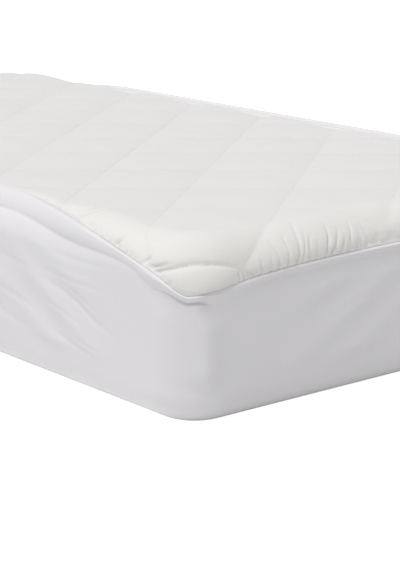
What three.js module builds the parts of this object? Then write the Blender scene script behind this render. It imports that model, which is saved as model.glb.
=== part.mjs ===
import * as THREE from 'three';

// A fitted waterproof mattress protector on a single mattress: a plain mattress block, a quilted
// pad over its top and shoulders, and a stretch knit skirt down its sides and under its base.
// Sizes are in millimetres. X runs across the bed, Y from foot to head, and Z up. The origin is
// the middle of the underside.

// Mattress
const MATTRESS_WIDTH = 990;
const MATTRESS_LENGTH = 1905;
const MATTRESS_HEIGHT = 290;

// Shape that the cloth takes over the mattress
const CORNER_RADIUS = 85;
const SHOULDER_RADIUS = 60;
const BASE_RADIUS = 50;
const EDGE_EASE = 8;
const FIT_GAP = 0.3;

// Seam between pad and skirt: its depth is measured over the shoulder from the flat top's inner
// rectangle. Along the ends it dips softly towards each corner. Along the sides it lies high on the
// shoulder, sinks steadily over the last stretch and dips once more at the corner itself.
const SEAM_DEPTH_AT_CORNERS = 136;
const SEAM_DEPTH_AT_ENDS = 106;
const END_DIP_REACH = 110;
const END_DIP_POWER = 1.5;
const SEAM_DEPTH_AT_SIDES = 40;
const SEAM_DEPTH_BESIDE_CORNERS = 121;
const SIDE_SLOPE_LENGTH = 470;
const SIDE_SLOPE_POWER = 1.25;
const SIDE_DIP_REACH = 30;

// Quilted pad
const DIAMOND_WIDTH = 276;
const DIAMOND_LENGTH = 234;
const CROSSING_FROM_SIDE = 142;
const CROSSING_FROM_FOOT = 232;
const CELLS_PER_DIAMOND = 8;
const CHANNEL_THICKNESS = 4;
const CROWN_RISE = 7;
const CROWN_POWER = 4;
const PAD_THINNEST = 1.5;
const PAD_EDGE_THICKNESS = 3;
const PAD_EDGE_ROLL = 18;
const PAD_GRID_OVERHANG = 0.7;
const PAD_ROW_SHARES = [0, 0.3, 0.6, 0.86, 1];
const PAD_UNDERSIDE_STEPS = 4;

// Gathers where the pad is drawn in to the seam
const GATHER_DEPTH_AT_ENDS = 5.5;
const GATHER_DEPTH_AT_SIDES = 1.5;
const GATHER_TOP = 0.35;
const GATHER_CLEAR_OF_CORNER = 90;
const GATHER_UNEVENNESS = 0.35;
const GATHER_BEAT = 2.4;

// The falling quilting lines are numbered from the crossing above. At two corners the line before
// the first and the one after the last are drawn down over the shoulder into arcs: how deep each
// one lies, how much it bends, and how far along the end its shallowest place is.
const FIRST_FALLING_LINE = 0;
const LAST_FALLING_LINE = 9;
const CORNER_ARCS = [
  { corner: 0, depth: 96, bend: 0.0022, walk: 20 },
  { corner: 2, depth: 103, bend: 0.002, walk: -12 },
];
const ARC_ZONE = 400;
const ARC_NOTCH_WIDTH = 12;

// Skirt
const SKIRT_THICKNESS = 2;
const SKIRT_TUCK = 75;
const ROLL_HEIGHT = 20;
const ROLL_PROUD = 6;
const ROLL_ROWS = [0, 3, 10, 16, 21];
const ROLL_FADE_START = 20;
const ROLL_FADE_LENGTH = 60;
const LIP_PROUD = 5;
const LIP_REACH = 45;
const WALL_STEPS = 4;
const BASE_STEPS = 4;
const FOLD_CLEARANCE = 30;

// Drag folds, the same in from every corner: where the fold's middle lies from the corner and
// above the base, its length, how far it climbs for each millimetre away from the corner, and how
// proud and how broad it is
const DRAG_FOLDS = [
  { away: 300, above: 205, length: 170, climb: 0.35, proud: 3.5, broad: 26 },
  { away: 330, above: 150, length: 210, climb: 0.55, proud: 5.5, broad: 28 },
  { away: 345, above: 85, length: 170, climb: 0.45, proud: 4.5, broad: 26 },
  { away: 560, above: 175, length: 240, climb: 0.3, proud: 4, broad: 30 },
  { away: 620, above: 105, length: 220, climb: 0.35, proud: 4, broad: 30 },
];

// Steps round the block
const END_STEPS = 30;
const SIDE_STEPS = 26;
const ARC_STEPS = 6;

// Finishes
const PAD_CLOTH = { color: 0xe8e7e4, roughness: 0.9, metalness: 0 };
const SKIRT_CLOTH = { color: 0xd6d4d8, roughness: 0.8, metalness: 0 };
const TICKING = { color: 0xdddbd5, roughness: 0.95, metalness: 0 };

const clamp = THREE.MathUtils.clamp;
const lerp = THREE.MathUtils.lerp;

// A block with rounded corners and edges. Depth runs over its surface from an inner rectangle:
// out over the flat top, round the shoulder, down the wall, round the base edge and back in.
function makeBlock({ halfWidth, halfLength, top, bottom, corner, shoulder, base }) {
  const flatEnd = corner - shoulder;
  const shoulderEnd = flatEnd + shoulder * Math.PI / 2;
  const baseStart = shoulderEnd + top - shoulder - bottom - base;
  const baseEnd = baseStart + base * Math.PI / 2;
  return {
    innerX: halfWidth - corner,
    innerY: halfLength - corner,
    top, bottom, corner, shoulder, base,
    flatEnd, shoulderEnd, baseStart, baseEnd,
  };
}

// Reach and height of the block's surface at a depth, and the way it faces there
function sectionAt(block, depth) {
  const { top, bottom, corner, shoulder, base } = block;
  if (depth <= block.flatEnd) {
    return { reach: depth, height: top, outward: 0, upward: 1 };
  }
  if (depth <= block.shoulderEnd) {
    const turn = (depth - block.flatEnd) / shoulder;
    const reach = block.flatEnd + shoulder * Math.sin(turn);
    const height = top - shoulder + shoulder * Math.cos(turn);
    return { reach, height, outward: Math.sin(turn), upward: Math.cos(turn) };
  }
  if (depth <= block.baseStart) {
    const height = top - shoulder - (depth - block.shoulderEnd);
    return { reach: corner, height, outward: 1, upward: 0 };
  }
  if (depth <= block.baseEnd) {
    const turn = (depth - block.baseStart) / base;
    const reach = corner - base + base * Math.cos(turn);
    const height = bottom + base - base * Math.sin(turn);
    return { reach, height, outward: Math.cos(turn), upward: -Math.sin(turn) };
  }
  const reach = corner - base - (depth - block.baseEnd);
  return { reach, height: bottom, outward: 0, upward: -1 };
}

// Point on the block below a station of its outline, lifted off the surface by rise
function pointOn(block, station, depth, rise) {
  const section = sectionAt(block, depth);
  const reach = section.reach + rise * section.outward;
  return new THREE.Vector3(
    station.x + station.outX * reach,
    station.y + station.outY * reach,
    section.height + rise * section.upward,
  );
}

// The four sides in turn, going round anticlockwise, by the way each one faces in degrees
const SIDES = [
  { facing: 270, isEnd: true },
  { facing: 0, isEnd: false },
  { facing: 90, isEnd: true },
  { facing: 180, isEnd: false },
];

// Stations round the block, from the middle of the corner at its foot end and left side
function goRound(block, endSteps, sideSteps, arcSteps) {
  const halfArc = block.corner * Math.PI / 4;
  const stations = [];
  SIDES.forEach((side, index) => {
    const facing = THREE.MathUtils.degToRad(side.facing);
    const outX = Math.cos(facing);
    const outY = Math.sin(facing);
    const half = side.isEnd ? block.innerX : block.innerY;
    const away = side.isEnd ? block.innerY : block.innerX;
    for (let step = 1; step < arcSteps; step += 1) {
      const share = step / arcSteps;
      const turn = facing - Math.PI / 2 * (1 - share);
      stations.push({
        x: outX * away + outY * half,
        y: outY * away - outX * half,
        outX: Math.cos(turn),
        outY: Math.sin(turn),
        isEnd: share > 0.5 ? side.isEnd : !side.isEnd,
        isStraight: false,
        fromCorner: Math.abs(2 * share - 1) * halfArc,
        corner: index,
      });
    }
    const steps = side.isEnd ? endSteps : sideSteps;
    for (let step = 0; step <= steps; step += 1) {
      const along = half * (2 * step / steps - 1);
      stations.push({
        x: outX * away - outY * along,
        y: outY * away + outX * along,
        outX,
        outY,
        isEnd: side.isEnd,
        isStraight: true,
        fromCorner: halfArc + half - Math.abs(along),
        corner: along < 0 ? index : (index + 1) % SIDES.length,
      });
    }
  });
  const first = arcSteps / 2 - 1;
  return [...stations.slice(first), ...stations.slice(0, first)];
}

// Depth of the seam at a station
function seamDepth(station) {
  const { isEnd, fromCorner } = station;
  if (isEnd) {
    const away = (fromCorner / END_DIP_REACH) ** END_DIP_POWER;
    return SEAM_DEPTH_AT_ENDS + (SEAM_DEPTH_AT_CORNERS - SEAM_DEPTH_AT_ENDS) / (1 + away);
  }
  const slope = clamp(1 - fromCorner / SIDE_SLOPE_LENGTH, 0, 1) ** SIDE_SLOPE_POWER;
  const dip = Math.exp(-((fromCorner / SIDE_DIP_REACH) ** 2));
  return SEAM_DEPTH_AT_SIDES + (SEAM_DEPTH_BESIDE_CORNERS - SEAM_DEPTH_AT_SIDES) * slope
    + (SEAM_DEPTH_AT_CORNERS - SEAM_DEPTH_BESIDE_CORNERS) * dip;
}

// The same stations with one more halfway along each straight step, on the same seam line
function withMidpoints(stations) {
  const finer = [];
  stations.forEach((station, index) => {
    const next = stations[(index + 1) % stations.length];
    finer.push({ ...station, isBetween: false });
    if (station.isStraight && next.isStraight) {
      finer.push({
        ...station,
        x: (station.x + next.x) / 2,
        y: (station.y + next.y) / 2,
        fromCorner: (station.fromCorner + next.fromCorner) / 2,
        seam: (station.seam + next.seam) / 2,
        isBetween: true,
      });
    }
  });
  return finer;
}

// A closed skin that is put together row by row. A row is a ring of points going round
// anticlockwise as seen from above, and each new row is stitched to the one before it.
class Skin {
  constructor() {
    this.points = [];
    this.triangles = [];
  }

  addRow(points) {
    const start = this.points.length;
    this.points.push(...points);
    return points.map((point, index) => start + index);
  }

  gap(a, b) {
    return this.points[a].distanceTo(this.points[b]);
  }

  middleOf(a, b) {
    return new THREE.Vector3().lerpVectors(this.points[a], this.points[b], 0.5);
  }

  // Two rings need not have the same number of points: each step takes the shorter new edge
  stitch(from, to) {
    let i = 0;
    let j = 0;
    while (i < from.length || j < to.length) {
      const a = from[i % from.length];
      const b = to[j % to.length];
      const nextA = from[(i + 1) % from.length];
      const nextB = to[(j + 1) % to.length];
      const fromIsShorter = i < from.length && this.gap(nextA, b) < this.gap(a, nextB);
      if (j === to.length || fromIsShorter) {
        this.triangles.push([a, b, nextA]);
        i += 1;
      } else {
        this.triangles.push([a, b, nextB]);
        j += 1;
      }
    }
  }

  stitchAll(rows) {
    for (let index = 1; index < rows.length; index += 1) {
      this.stitch(rows[index - 1], rows[index]);
    }
  }

  // A level face inside a ring, looking up or down
  cap(row, looksUp) {
    const outline = row.map((index) => new THREE.Vector2(this.points[index].x, this.points[index].y));
    for (const [a, b, c] of THREE.ShapeUtils.triangulateShape(outline, [])) {
      this.triangles.push(looksUp ? [row[a], row[b], row[c]] : [row[a], row[c], row[b]]);
    }
  }

  toMesh(name, finish) {
    const geometry = new THREE.BufferGeometry().setFromPoints(this.points);
    geometry.setIndex(this.triangles.flat());
    geometry.computeVertexNormals();
    const mesh = new THREE.Mesh(geometry, new THREE.MeshStandardMaterial(finish));
    mesh.name = name;
    return mesh;
  }
}

// Shapes that the pieces share

const bed = makeBlock({
  halfWidth: MATTRESS_WIDTH / 2,
  halfLength: MATTRESS_LENGTH / 2,
  bottom: SKIRT_THICKNESS + FIT_GAP,
  top: SKIRT_THICKNESS + FIT_GAP + MATTRESS_HEIGHT,
  corner: CORNER_RADIUS + EDGE_EASE,
  shoulder: SHOULDER_RADIUS + EDGE_EASE,
  base: BASE_RADIUS + EDGE_EASE,
});

const cloth = makeBlock({
  halfWidth: MATTRESS_WIDTH / 2 + FIT_GAP,
  halfLength: MATTRESS_LENGTH / 2 + FIT_GAP,
  bottom: SKIRT_THICKNESS,
  top: bed.top + FIT_GAP,
  corner: CORNER_RADIUS,
  shoulder: SHOULDER_RADIUS,
  base: BASE_RADIUS,
});

const seamStations = goRound(cloth, END_STEPS, SIDE_STEPS, ARC_STEPS).map((station) => ({
  ...station,
  seam: seamDepth(station),
}));

// Mattress

function makeMattress() {
  const skin = new Skin();
  const stations = goRound(bed, 1, 1, ARC_STEPS);
  const depths = [bed.flatEnd];
  for (let step = 1; step <= BASE_STEPS; step += 1) {
    depths.push(lerp(bed.flatEnd, bed.shoulderEnd, step / BASE_STEPS));
  }
  for (let step = 0; step <= BASE_STEPS; step += 1) {
    depths.push(lerp(bed.baseStart, bed.baseEnd, step / BASE_STEPS));
  }
  const rows = depths.map((depth) => (
    skin.addRow(stations.map((station) => pointOn(bed, station, depth, 0)))
  ));
  skin.cap(rows[0], true);
  skin.stitchAll(rows);
  skin.cap(rows.at(-1), false);
  return skin.toMesh('mattress', TICKING);
}

// Quilted pad

const crossingX = CROSSING_FROM_SIDE - MATTRESS_WIDTH / 2;
const crossingY = CROSSING_FROM_FOOT - MATTRESS_LENGTH / 2;

// Height of a puff so many line spacings from a quilting line: 0 on it and 1 halfway to the next
function crownAcross(spacings) {
  const away = Math.min(2 * Math.abs(spacings), 1);
  return 1 - (1 - away) ** CROWN_POWER;
}

// Height of the diamond puffs at a place on the cloth, from 0 in the channels to 1
function puffAt(x, y) {
  const across = (x - crossingX) / DIAMOND_WIDTH;
  const along = (y - crossingY) / DIAMOND_LENGTH;
  const rising = along - across;
  const falling = along + across;
  const fallingLine = clamp(Math.round(falling), FIRST_FALLING_LINE, LAST_FALLING_LINE);
  return crownAcross(rising - Math.round(rising)) * crownAcross(falling - fallingLine);
}

// Share of its height that a puff keeps beside a corner's arc, 0 on the arc
function arcShare(station, depth) {
  const arc = CORNER_ARCS.find(({ corner }) => corner === station.corner);
  if (!arc || station.fromCorner > ARC_ZONE) {
    return 1;
  }
  const walk = station.isEnd ? station.fromCorner : -station.fromCorner;
  const arcDepth = arc.depth + arc.bend * (walk - arc.walk) ** 2;
  return 1 - Math.exp(-Math.abs(depth - arcDepth) / ARC_NOTCH_WIDTH);
}

function gatherAt(station, index, depth) {
  const topDepth = lerp(cloth.flatEnd, station.seam, GATHER_TOP);
  const reach = clamp((depth - topDepth) / (station.seam - topDepth), 0, 1);
  const clearance = clamp(station.fromCorner / GATHER_CLEAR_OF_CORNER - 1, 0, 1);
  const deepest = station.isEnd ? GATHER_DEPTH_AT_ENDS : GATHER_DEPTH_AT_SIDES;
  const unevenness = 1 - GATHER_UNEVENNESS + GATHER_UNEVENNESS * Math.sin(index * GATHER_BEAT);
  return station.isBetween ? deepest * unevenness * reach * clearance : 0;
}

function padRise(station, index, depth) {
  const x = station.x + station.outX * depth;
  const y = station.y + station.outY * depth;
  const puff = puffAt(x, y) * arcShare(station, depth);
  const full = CHANNEL_THICKNESS + CROWN_RISE * puff - gatherAt(station, index, depth);
  const toSeam = clamp((station.seam - depth) / PAD_EDGE_ROLL, 0, 1);
  const roundness = Math.sqrt(1 - (1 - toSeam) ** 2);
  return lerp(PAD_EDGE_THICKNESS, Math.max(full, PAD_THINNEST), roundness);
}

// The pad's flat part is a grid whose diagonals follow the quilting lines
function addQuiltGrid(skin) {
  const cellX = DIAMOND_WIDTH / CELLS_PER_DIAMOND;
  const cellY = DIAMOND_LENGTH / CELLS_PER_DIAMOND;
  const reachX = cloth.innerX + cloth.flatEnd * PAD_GRID_OVERHANG;
  const reachY = cloth.innerY + cloth.flatEnd * PAD_GRID_OVERHANG;
  const firstX = Math.ceil((-reachX - crossingX) / cellX);
  const lastX = Math.floor((reachX - crossingX) / cellX);
  const firstY = Math.ceil((-reachY - crossingY) / cellY);
  const lastY = Math.floor((reachY - crossingY) / cellY);
  const placeAt = (i, j) => {
    const x = crossingX + i * cellX;
    const y = crossingY + j * cellY;
    return new THREE.Vector3(x, y, cloth.top + CHANNEL_THICKNESS + CROWN_RISE * puffAt(x, y));
  };

  const columns = [];
  for (let i = firstX; i <= lastX; i += 1) {
    const column = [];
    for (let j = firstY; j <= lastY; j += 1) {
      column.push(placeAt(i, j));
    }
    columns.push(skin.addRow(column));
  }
  for (let i = firstX; i < lastX; i += 1) {
    for (let j = firstY; j < lastY; j += 1) {
      const nearLeft = columns[i - firstX][j - firstY];
      const farLeft = columns[i - firstX][j - firstY + 1];
      const nearRight = columns[i - firstX + 1][j - firstY];
      const farRight = columns[i - firstX + 1][j - firstY + 1];
      const middle = placeAt(i + 0.5, j + 0.5);
      const rising = skin.middleOf(nearLeft, farRight).distanceTo(middle);
      const falling = skin.middleOf(nearRight, farLeft).distanceTo(middle);
      if (rising < falling) {
        skin.triangles.push([nearLeft, nearRight, farRight], [nearLeft, farRight, farLeft]);
      } else {
        skin.triangles.push([nearLeft, nearRight, farLeft], [nearRight, farRight, farLeft]);
      }
    }
  }
  const foot = columns.map((column) => column[0]);
  const right = columns.at(-1);
  const head = columns.map((column) => column.at(-1)).reverse();
  const left = [...columns[0]].reverse();
  return [foot, right, head, left].flatMap((edge) => edge.slice(0, -1));
}

function makeQuiltedPad() {
  const skin = new Skin();
  const gridEdge = addQuiltGrid(skin);
  const stations = withMidpoints(seamStations);
  const edgeDepth = (station) => station.seam - FIT_GAP / 2;
  const topRows = PAD_ROW_SHARES.map((share) => skin.addRow(stations.map((station, index) => {
    const depth = lerp(cloth.flatEnd, edgeDepth(station), share);
    return pointOn(cloth, station, depth, padRise(station, index, depth));
  })));
  const sewnEdge = skin.addRow(stations.map((station) => pointOn(cloth, station, edgeDepth(station), 0)));
  const undersideRows = [];
  for (let step = 1; step <= PAD_UNDERSIDE_STEPS; step += 1) {
    undersideRows.push(skin.addRow(seamStations.map((station) => {
      const depth = lerp(edgeDepth(station), cloth.flatEnd, step / PAD_UNDERSIDE_STEPS);
      return pointOn(cloth, station, depth, 0);
    })));
  }
  skin.stitchAll([gridEdge, ...topRows, sewnEdge, ...undersideRows]);
  skin.cap(undersideRows.at(-1), false);
  return skin.toMesh('quilted_pad', PAD_CLOTH);
}

// Skirt

// The skirt's top rolls over the seam along the sides and stands out as a lip at each corner
function rollRise(station, pastSeam) {
  const fade = station.isEnd ? clamp(1 - (station.fromCorner - ROLL_FADE_START) / ROLL_FADE_LENGTH, 0, 1) : 1;
  const lip = LIP_PROUD * Math.exp(-((station.fromCorner / LIP_REACH) ** 2));
  const swell = Math.sin(Math.PI * clamp(pastSeam / ROLL_HEIGHT, 0, 1));
  return (ROLL_PROUD + lip) * fade * swell;
}

function foldRise(station, depth) {
  const above = cloth.baseStart - depth;
  const wallEnd = clamp(Math.min(above, depth - station.seam - ROLL_HEIGHT) / FOLD_CLEARANCE, 0, 1);
  const rises = DRAG_FOLDS.map((fold) => {
    const away = station.fromCorner - fold.away;
    const off = above + BASE_RADIUS - fold.above - away * fold.climb;
    return fold.proud * Math.exp(-((off / fold.broad) ** 2) - (2 * away / fold.length) ** 2);
  });
  return wallEnd * rises.reduce((sum, rise) => sum + rise, 0);
}

function skirtDepths(station) {
  const top = station.seam + FIT_GAP / 2;
  const depths = ROLL_ROWS.map((row) => top + row);
  const rollEnd = depths.at(-1);
  const wallTop = Math.max(cloth.shoulderEnd, rollEnd + FIT_GAP);
  depths.push((rollEnd + wallTop) / 2);
  for (let step = 0; step < WALL_STEPS; step += 1) {
    depths.push(lerp(wallTop, cloth.baseStart, step / WALL_STEPS));
  }
  for (let step = 0; step <= BASE_STEPS; step += 1) {
    depths.push(lerp(cloth.baseStart, cloth.baseEnd, step / BASE_STEPS));
  }
  depths.push(cloth.baseEnd + SKIRT_TUCK - BASE_RADIUS);
  return depths;
}

function makeSkirt() {
  const skin = new Skin();
  const rowCount = skirtDepths(seamStations[0]).length;
  const rowAt = (row, thickness) => skin.addRow(seamStations.map((station) => {
    const depth = skirtDepths(station)[row];
    const rise = rollRise(station, depth - station.seam) + foldRise(station, depth);
    return pointOn(cloth, station, depth, rise + thickness);
  }));
  const outside = [];
  const inside = [];
  for (let row = 0; row < rowCount; row += 1) {
    outside.push(rowAt(row, SKIRT_THICKNESS));
    inside.push(rowAt(row, 0));
  }
  skin.stitchAll([...outside, ...inside.reverse(), outside[0]]);
  return skin.toMesh('skirt', SKIRT_CLOTH);
}

// The whole protector, centred over its origin

const protector = new THREE.Group();
protector.add(makeMattress(), makeQuiltedPad(), makeSkirt());
const middle = new THREE.Box3().setFromObject(protector).getCenter(new THREE.Vector3());
for (const mesh of protector.children) {
  mesh.position.set(-middle.x, -middle.y, 0);
}

export default protector;
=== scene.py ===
"""A fitted waterproof mattress protector on a single mattress: quilted pad, stretch knit skirt,
quilting stitches, bare ticking underneath and a plain studio, built round the packed frame.

Blender works in metres here. Tables of creases are in millimetres and say so. X runs across the
bed, Y from foot to head and Z up, and the shown corner is the one at the foot and the left side.
"""
import math
import random
from collections import namedtuple

import bpy
import numpy as np
from bpy.props import FloatProperty, FloatVectorProperty, IntProperty, PointerProperty
from mathutils import Matrix, Vector, noise


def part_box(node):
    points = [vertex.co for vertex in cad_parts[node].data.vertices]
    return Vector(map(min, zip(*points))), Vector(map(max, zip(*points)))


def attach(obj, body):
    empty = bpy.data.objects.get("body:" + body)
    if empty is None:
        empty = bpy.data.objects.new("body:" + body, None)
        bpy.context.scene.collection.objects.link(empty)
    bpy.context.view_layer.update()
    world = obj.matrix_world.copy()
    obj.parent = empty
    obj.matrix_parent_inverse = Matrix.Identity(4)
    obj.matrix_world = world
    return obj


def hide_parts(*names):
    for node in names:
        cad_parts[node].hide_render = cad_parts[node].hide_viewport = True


bl_info = {
    "name": "Waterproof mattress protector",
    "version": (1, 0, 0),
    "blender": (4, 5, 0),
    "location": "View3D > Sidebar > Protector",
    "description": "Builds the quilted pad, the stretch skirt and the studio round the packed mattress",
    "category": "Object",
}

MM = 0.001
TINY = 1e-9

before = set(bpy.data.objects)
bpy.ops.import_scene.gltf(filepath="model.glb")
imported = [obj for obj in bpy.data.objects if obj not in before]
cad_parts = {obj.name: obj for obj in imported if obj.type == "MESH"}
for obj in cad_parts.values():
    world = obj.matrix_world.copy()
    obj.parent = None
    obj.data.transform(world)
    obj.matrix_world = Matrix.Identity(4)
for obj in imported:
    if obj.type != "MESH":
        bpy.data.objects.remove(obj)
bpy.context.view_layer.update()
BED_LOW, BED_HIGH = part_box("mattress")
HALF_WIDTH = (BED_HIGH.x - BED_LOW.x) / 2
HALF_LENGTH = (BED_HIGH.y - BED_LOW.y) / 2


def length(name, description, default):
    """A size in metres that a user may change."""
    return FloatProperty(
        name=name, description=description, default=default, min=0, unit="LENGTH", subtype="DISTANCE",
        precision=4,
    )


def share(name, description, default):
    """A plain number that a user may change."""
    return FloatProperty(name=name, description=description, default=default, precision=3)


def finish_color(name, description, default):
    """A linear colour that a user may change."""
    return FloatVectorProperty(
        name=name, description=description, default=default, min=0, max=1, size=3, subtype="COLOR",
    )


class BedShape(bpy.types.PropertyGroup):
    """How the cloth lies over the mattress, and where the pad meets the skirt"""

    corner_radius: length("Corner radius", "Radius of the upright corners", 85 * MM)
    shoulder_radius: length("Shoulder radius", "Radius over the top edge", 60 * MM)
    base_radius: length("Base radius", "Radius under the bottom edge", 50 * MM)
    fit_gap: length("Fit gap", "Gap between the cloth and the mattress", 0.3 * MM)
    seam_at_corners: length("Seam at corners", "How far over the edge it lies at a corner", 136 * MM)
    seam_at_ends: length("Seam at the ends", "The same at head and foot", 106 * MM)
    end_dip_reach: length("End dip reach", "How far its dip reaches from a corner", 110 * MM)
    seam_at_sides: length("Seam at the sides", "How far over the edge it lies on the long sides", 40 * MM)
    seam_beside_corners: length("Seam beside corners", "How far it has sunk beside a corner", 121 * MM)
    side_slope_length: length("Side slope length", "Length over which it sinks", 470 * MM)
    side_dip_reach: length("Side dip reach", "How far the corner's dip reaches along a side", 30 * MM)


class QuiltSizes(bpy.types.PropertyGroup):
    """Quilting of the pad"""

    diamond_width: length("Diamond width", "Width of a quilted diamond", 276 * MM)
    diamond_length: length("Diamond length", "Length of a quilted diamond", 234 * MM)
    crossing_from_side: length("Crossing from side", "A crossing of the lines from the left side", 142 * MM)
    crossing_from_foot: length("Crossing from foot", "The same crossing from the foot end", 232 * MM)
    channel_thickness: length("Channel thickness", "Thickness of the pad in its sewn channels", 4 * MM)
    crown_rise: length("Crown rise", "How far the fill stands up round the edge", 7 * MM)
    top_rise: length("Top rise", "The same on the flat top, where the cloth is stretched", 6 * MM)
    falling_share: share("Falling share", "How much of its depth a falling channel keeps on the top", 0.35)
    notch_width: length("Notch width", "Width of the sharp dip along the stitching", 4 * MM)
    notch_share: share("Notch share", "Share of the crown that lies in the sharp dip", 0.05)
    arc_notch_width: length("Arc notch width", "Width of the dip along a corner's arc", 2.6 * MM)
    edge_thickness: length("Edge thickness", "Least thickness at the seam", 1.4 * MM)
    edge_roll: length("Edge roll", "How far from the seam the cut edge rounds down", 3.2 * MM)
    edge_drawn: share("Edge drawn", "Share of its thickness that the pad loses at an end's seam", 0.56)
    side_drawn: share("Side drawn", "The same along the long sides", 0.35)
    corner_drawn: share("Corner drawn", "The same at the corners", 0.2)
    edge_reach: length("Edge reach", "How far from the seam the pad starts to thin", 11 * MM)
    corner_edge_reach: length("Corner edge reach", "The same at the corners", 6 * MM)
    edge_hold: length("Edge hold", "How far from the seam the skirt's roll holds the pad up", 6 * MM)
    pillow_rise: share("Pillow rise", "How much fuller than a puff the pad is under a corner's arc", 0.3)
    pillow_slope: length("Pillow slope", "How far below the arc it is that full", 16 * MM)
    corner_sag: length("Corner sag", "How much fuller the fill is low on a corner's shoulder", 3 * MM)
    sag_height: length("Sag height", "How high over the seam that fullness reaches", 18 * MM)
    sag_reach: length("Sag reach", "How far round a corner it is fuller, along the end", 130 * MM)
    lip_sag_reach: length("Lip sag reach", "The same along the long side, where a lip holds it", 30 * MM)
    hang_sag: length("Hang sag", "How much fuller still it is past a lip, where it hangs over", 1.5 * MM)
    hang_middle: length("Hang middle", "How far from the corner's middle it hangs over most", 52 * MM)
    hang_reach: length("Hang reach", "How far along the seam it hangs over", 24 * MM)
    unevenness: length("Unevenness", "How far the fill varies in height", 1.1 * MM)
    stitch_pitch: length("Stitch pitch", "Distance from one stitch to the next", 4.6 * MM)
    stitch_length: length("Stitch length", "Length of thread that shows in a stitch", 3.6 * MM)
    thread_width: length("Thread width", "Width of the quilting thread", 0.7 * MM)
    cells_per_diamond: IntProperty(
        name="Cells per diamond", description="Mesh cells across a diamond", default=32, min=8, max=60,
    )


class SkirtSizes(bpy.types.PropertyGroup):
    """Stretch knit skirt"""

    thickness: length("Thickness", "Thickness of the knit", 2 * MM)
    tuck: length("Tuck", "How far the skirt reaches under the mattress", 75 * MM)
    roll_height: length("Roll height", "Height of the soft roll far along the long sides", 34 * MM)
    roll_proud: length("Roll proud", "How far the roll stands out", 16 * MM)
    roll_start: length("Roll start", "How far from a corner the roll starts to widen", 100 * MM)
    roll_full: length("Roll full", "How far from a corner it is at its full height", 330 * MM)
    cord_height: length("Cord height", "Height of the narrow cord that it is nearer the corner", 12 * MM)
    cord_proud: length("Cord proud", "How far the cord stands out", 3.4 * MM)
    lip_height: length("Lip height", "Height of the round lip where it turns a corner", 12 * MM)
    lip_proud: length("Lip proud", "How far it stands out at a corner", 15 * MM)
    lip_reach: length("Lip reach", "How far the lip reaches along the long side", 44 * MM)
    lip_drop: length("Lip drop", "How much higher it is beside the corner, where it runs out", 15 * MM)
    lip_hold: length("Lip hold", "How far the lip reaches along the end at full size", 8 * MM)
    lip_end: length("Lip end", "How far along the end it has run out", 42 * MM)
    lip_hang: length("Lip hang", "How far the lip hangs over its own root", 4 * MM)
    bead_height: length("Bead height", "Height of the turned edge along the ends", 13 * MM)
    bead_proud: length("Bead proud", "How far that edge stands out", 5 * MM)
    groove: length("Groove", "Depth of the groove between the pad and the skirt", 0.6 * MM)
    corner_swell: length("Corner swell", "How far the knit stands off a corner, pulled straight", 9 * MM)
    lip_shelf: length("Lip shelf", "How far it is also held off by a lip right above", 9 * MM)
    shelf_reach: length("Shelf reach", "How far along the skirt a lip holds it off", 52 * MM)
    shelf_height: length("Shelf height", "How far down the wall it comes back to the corner", 110 * MM)
    swell_middle: length("Swell middle", "How far towards the end it stands off most", 29 * MM)
    swell_reach: length("Swell reach", "How far along the skirt it stands off", 20 * MM)


class Finishes(bpy.types.PropertyGroup):
    """Colours of the cloths and the floor"""

    pad: finish_color("Pad cloth", "Warm white brushed cloth", (0.80, 0.79, 0.77))
    skirt: finish_color("Skirt knit", "Cool white knit", (0.78, 0.766, 0.783))
    thread: finish_color("Thread", "White sewing thread", (0.79, 0.78, 0.76))
    ticking: finish_color("Ticking", "Bare mattress cloth", (0.70, 0.67, 0.62))
    floor: finish_color("Floor", "Pale studio floor", (0.72, 0.72, 0.72))


class StudioSettings(bpy.types.PropertyGroup):
    """Camera and light"""

    azimuth: share("Azimuth", "Camera's turn in degrees from looking along the bed", -39.25)
    elevation: share("Elevation", "Camera's height in degrees", 13.96)
    distance: length("Distance", "From the camera to its target", 2.8)
    aim_right: share("Aim right", "Target to the right of the corner's foot, in metres", 0.021)
    aim_up: share("Aim up", "Target above the corner's foot, in metres", 0.232)
    focal_length: share("Focal length", "Focal length in millimetres on a 36 mm sensor", 115.4)
    sky: share("Sky", "Strength of the even light from above", 0.49)
    walls: share("Walls", "How much stronger it is low down, as from pale walls", 0.27)
    left_wall: share("Left wall", "How much stronger again it is from the left than from ahead", 1.3)
    back_wall: share("Back wall", "How much stronger it is from the back than from ahead", 0.3)
    key: share("Key", "Strength of the soft sun overhead", 1.62)
    floor_white: share("Floor white", "How far the floor is lit from below, as seen by the camera", 0.85)
    side_glow: share("Side glow", "Strength of the light that the floor throws up beside the bed", 0.28)
    end_glow: share("End glow", "The same before its ends", 0.07)
    glow_reach: length("Glow reach", "How far from the bed that light has faded", 35 * MM)


# Shape of the bed under the cloth

Around = namedtuple("Around", "x y out_x out_y is_end from_corner corner")

# The sides anticlockwise from the foot end: which way each one faces in degrees, and whether it is
# an end
Side = namedtuple("Side", "facing is_end")
SIDES = [Side(270, True), Side(0, False), Side(90, True), Side(180, False)]

# Powers by which the seam's dip eases off along an end, and by which it sinks along a side
END_DIP_POWER, SIDE_SLOPE_POWER = 1.5, 1.25


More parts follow.
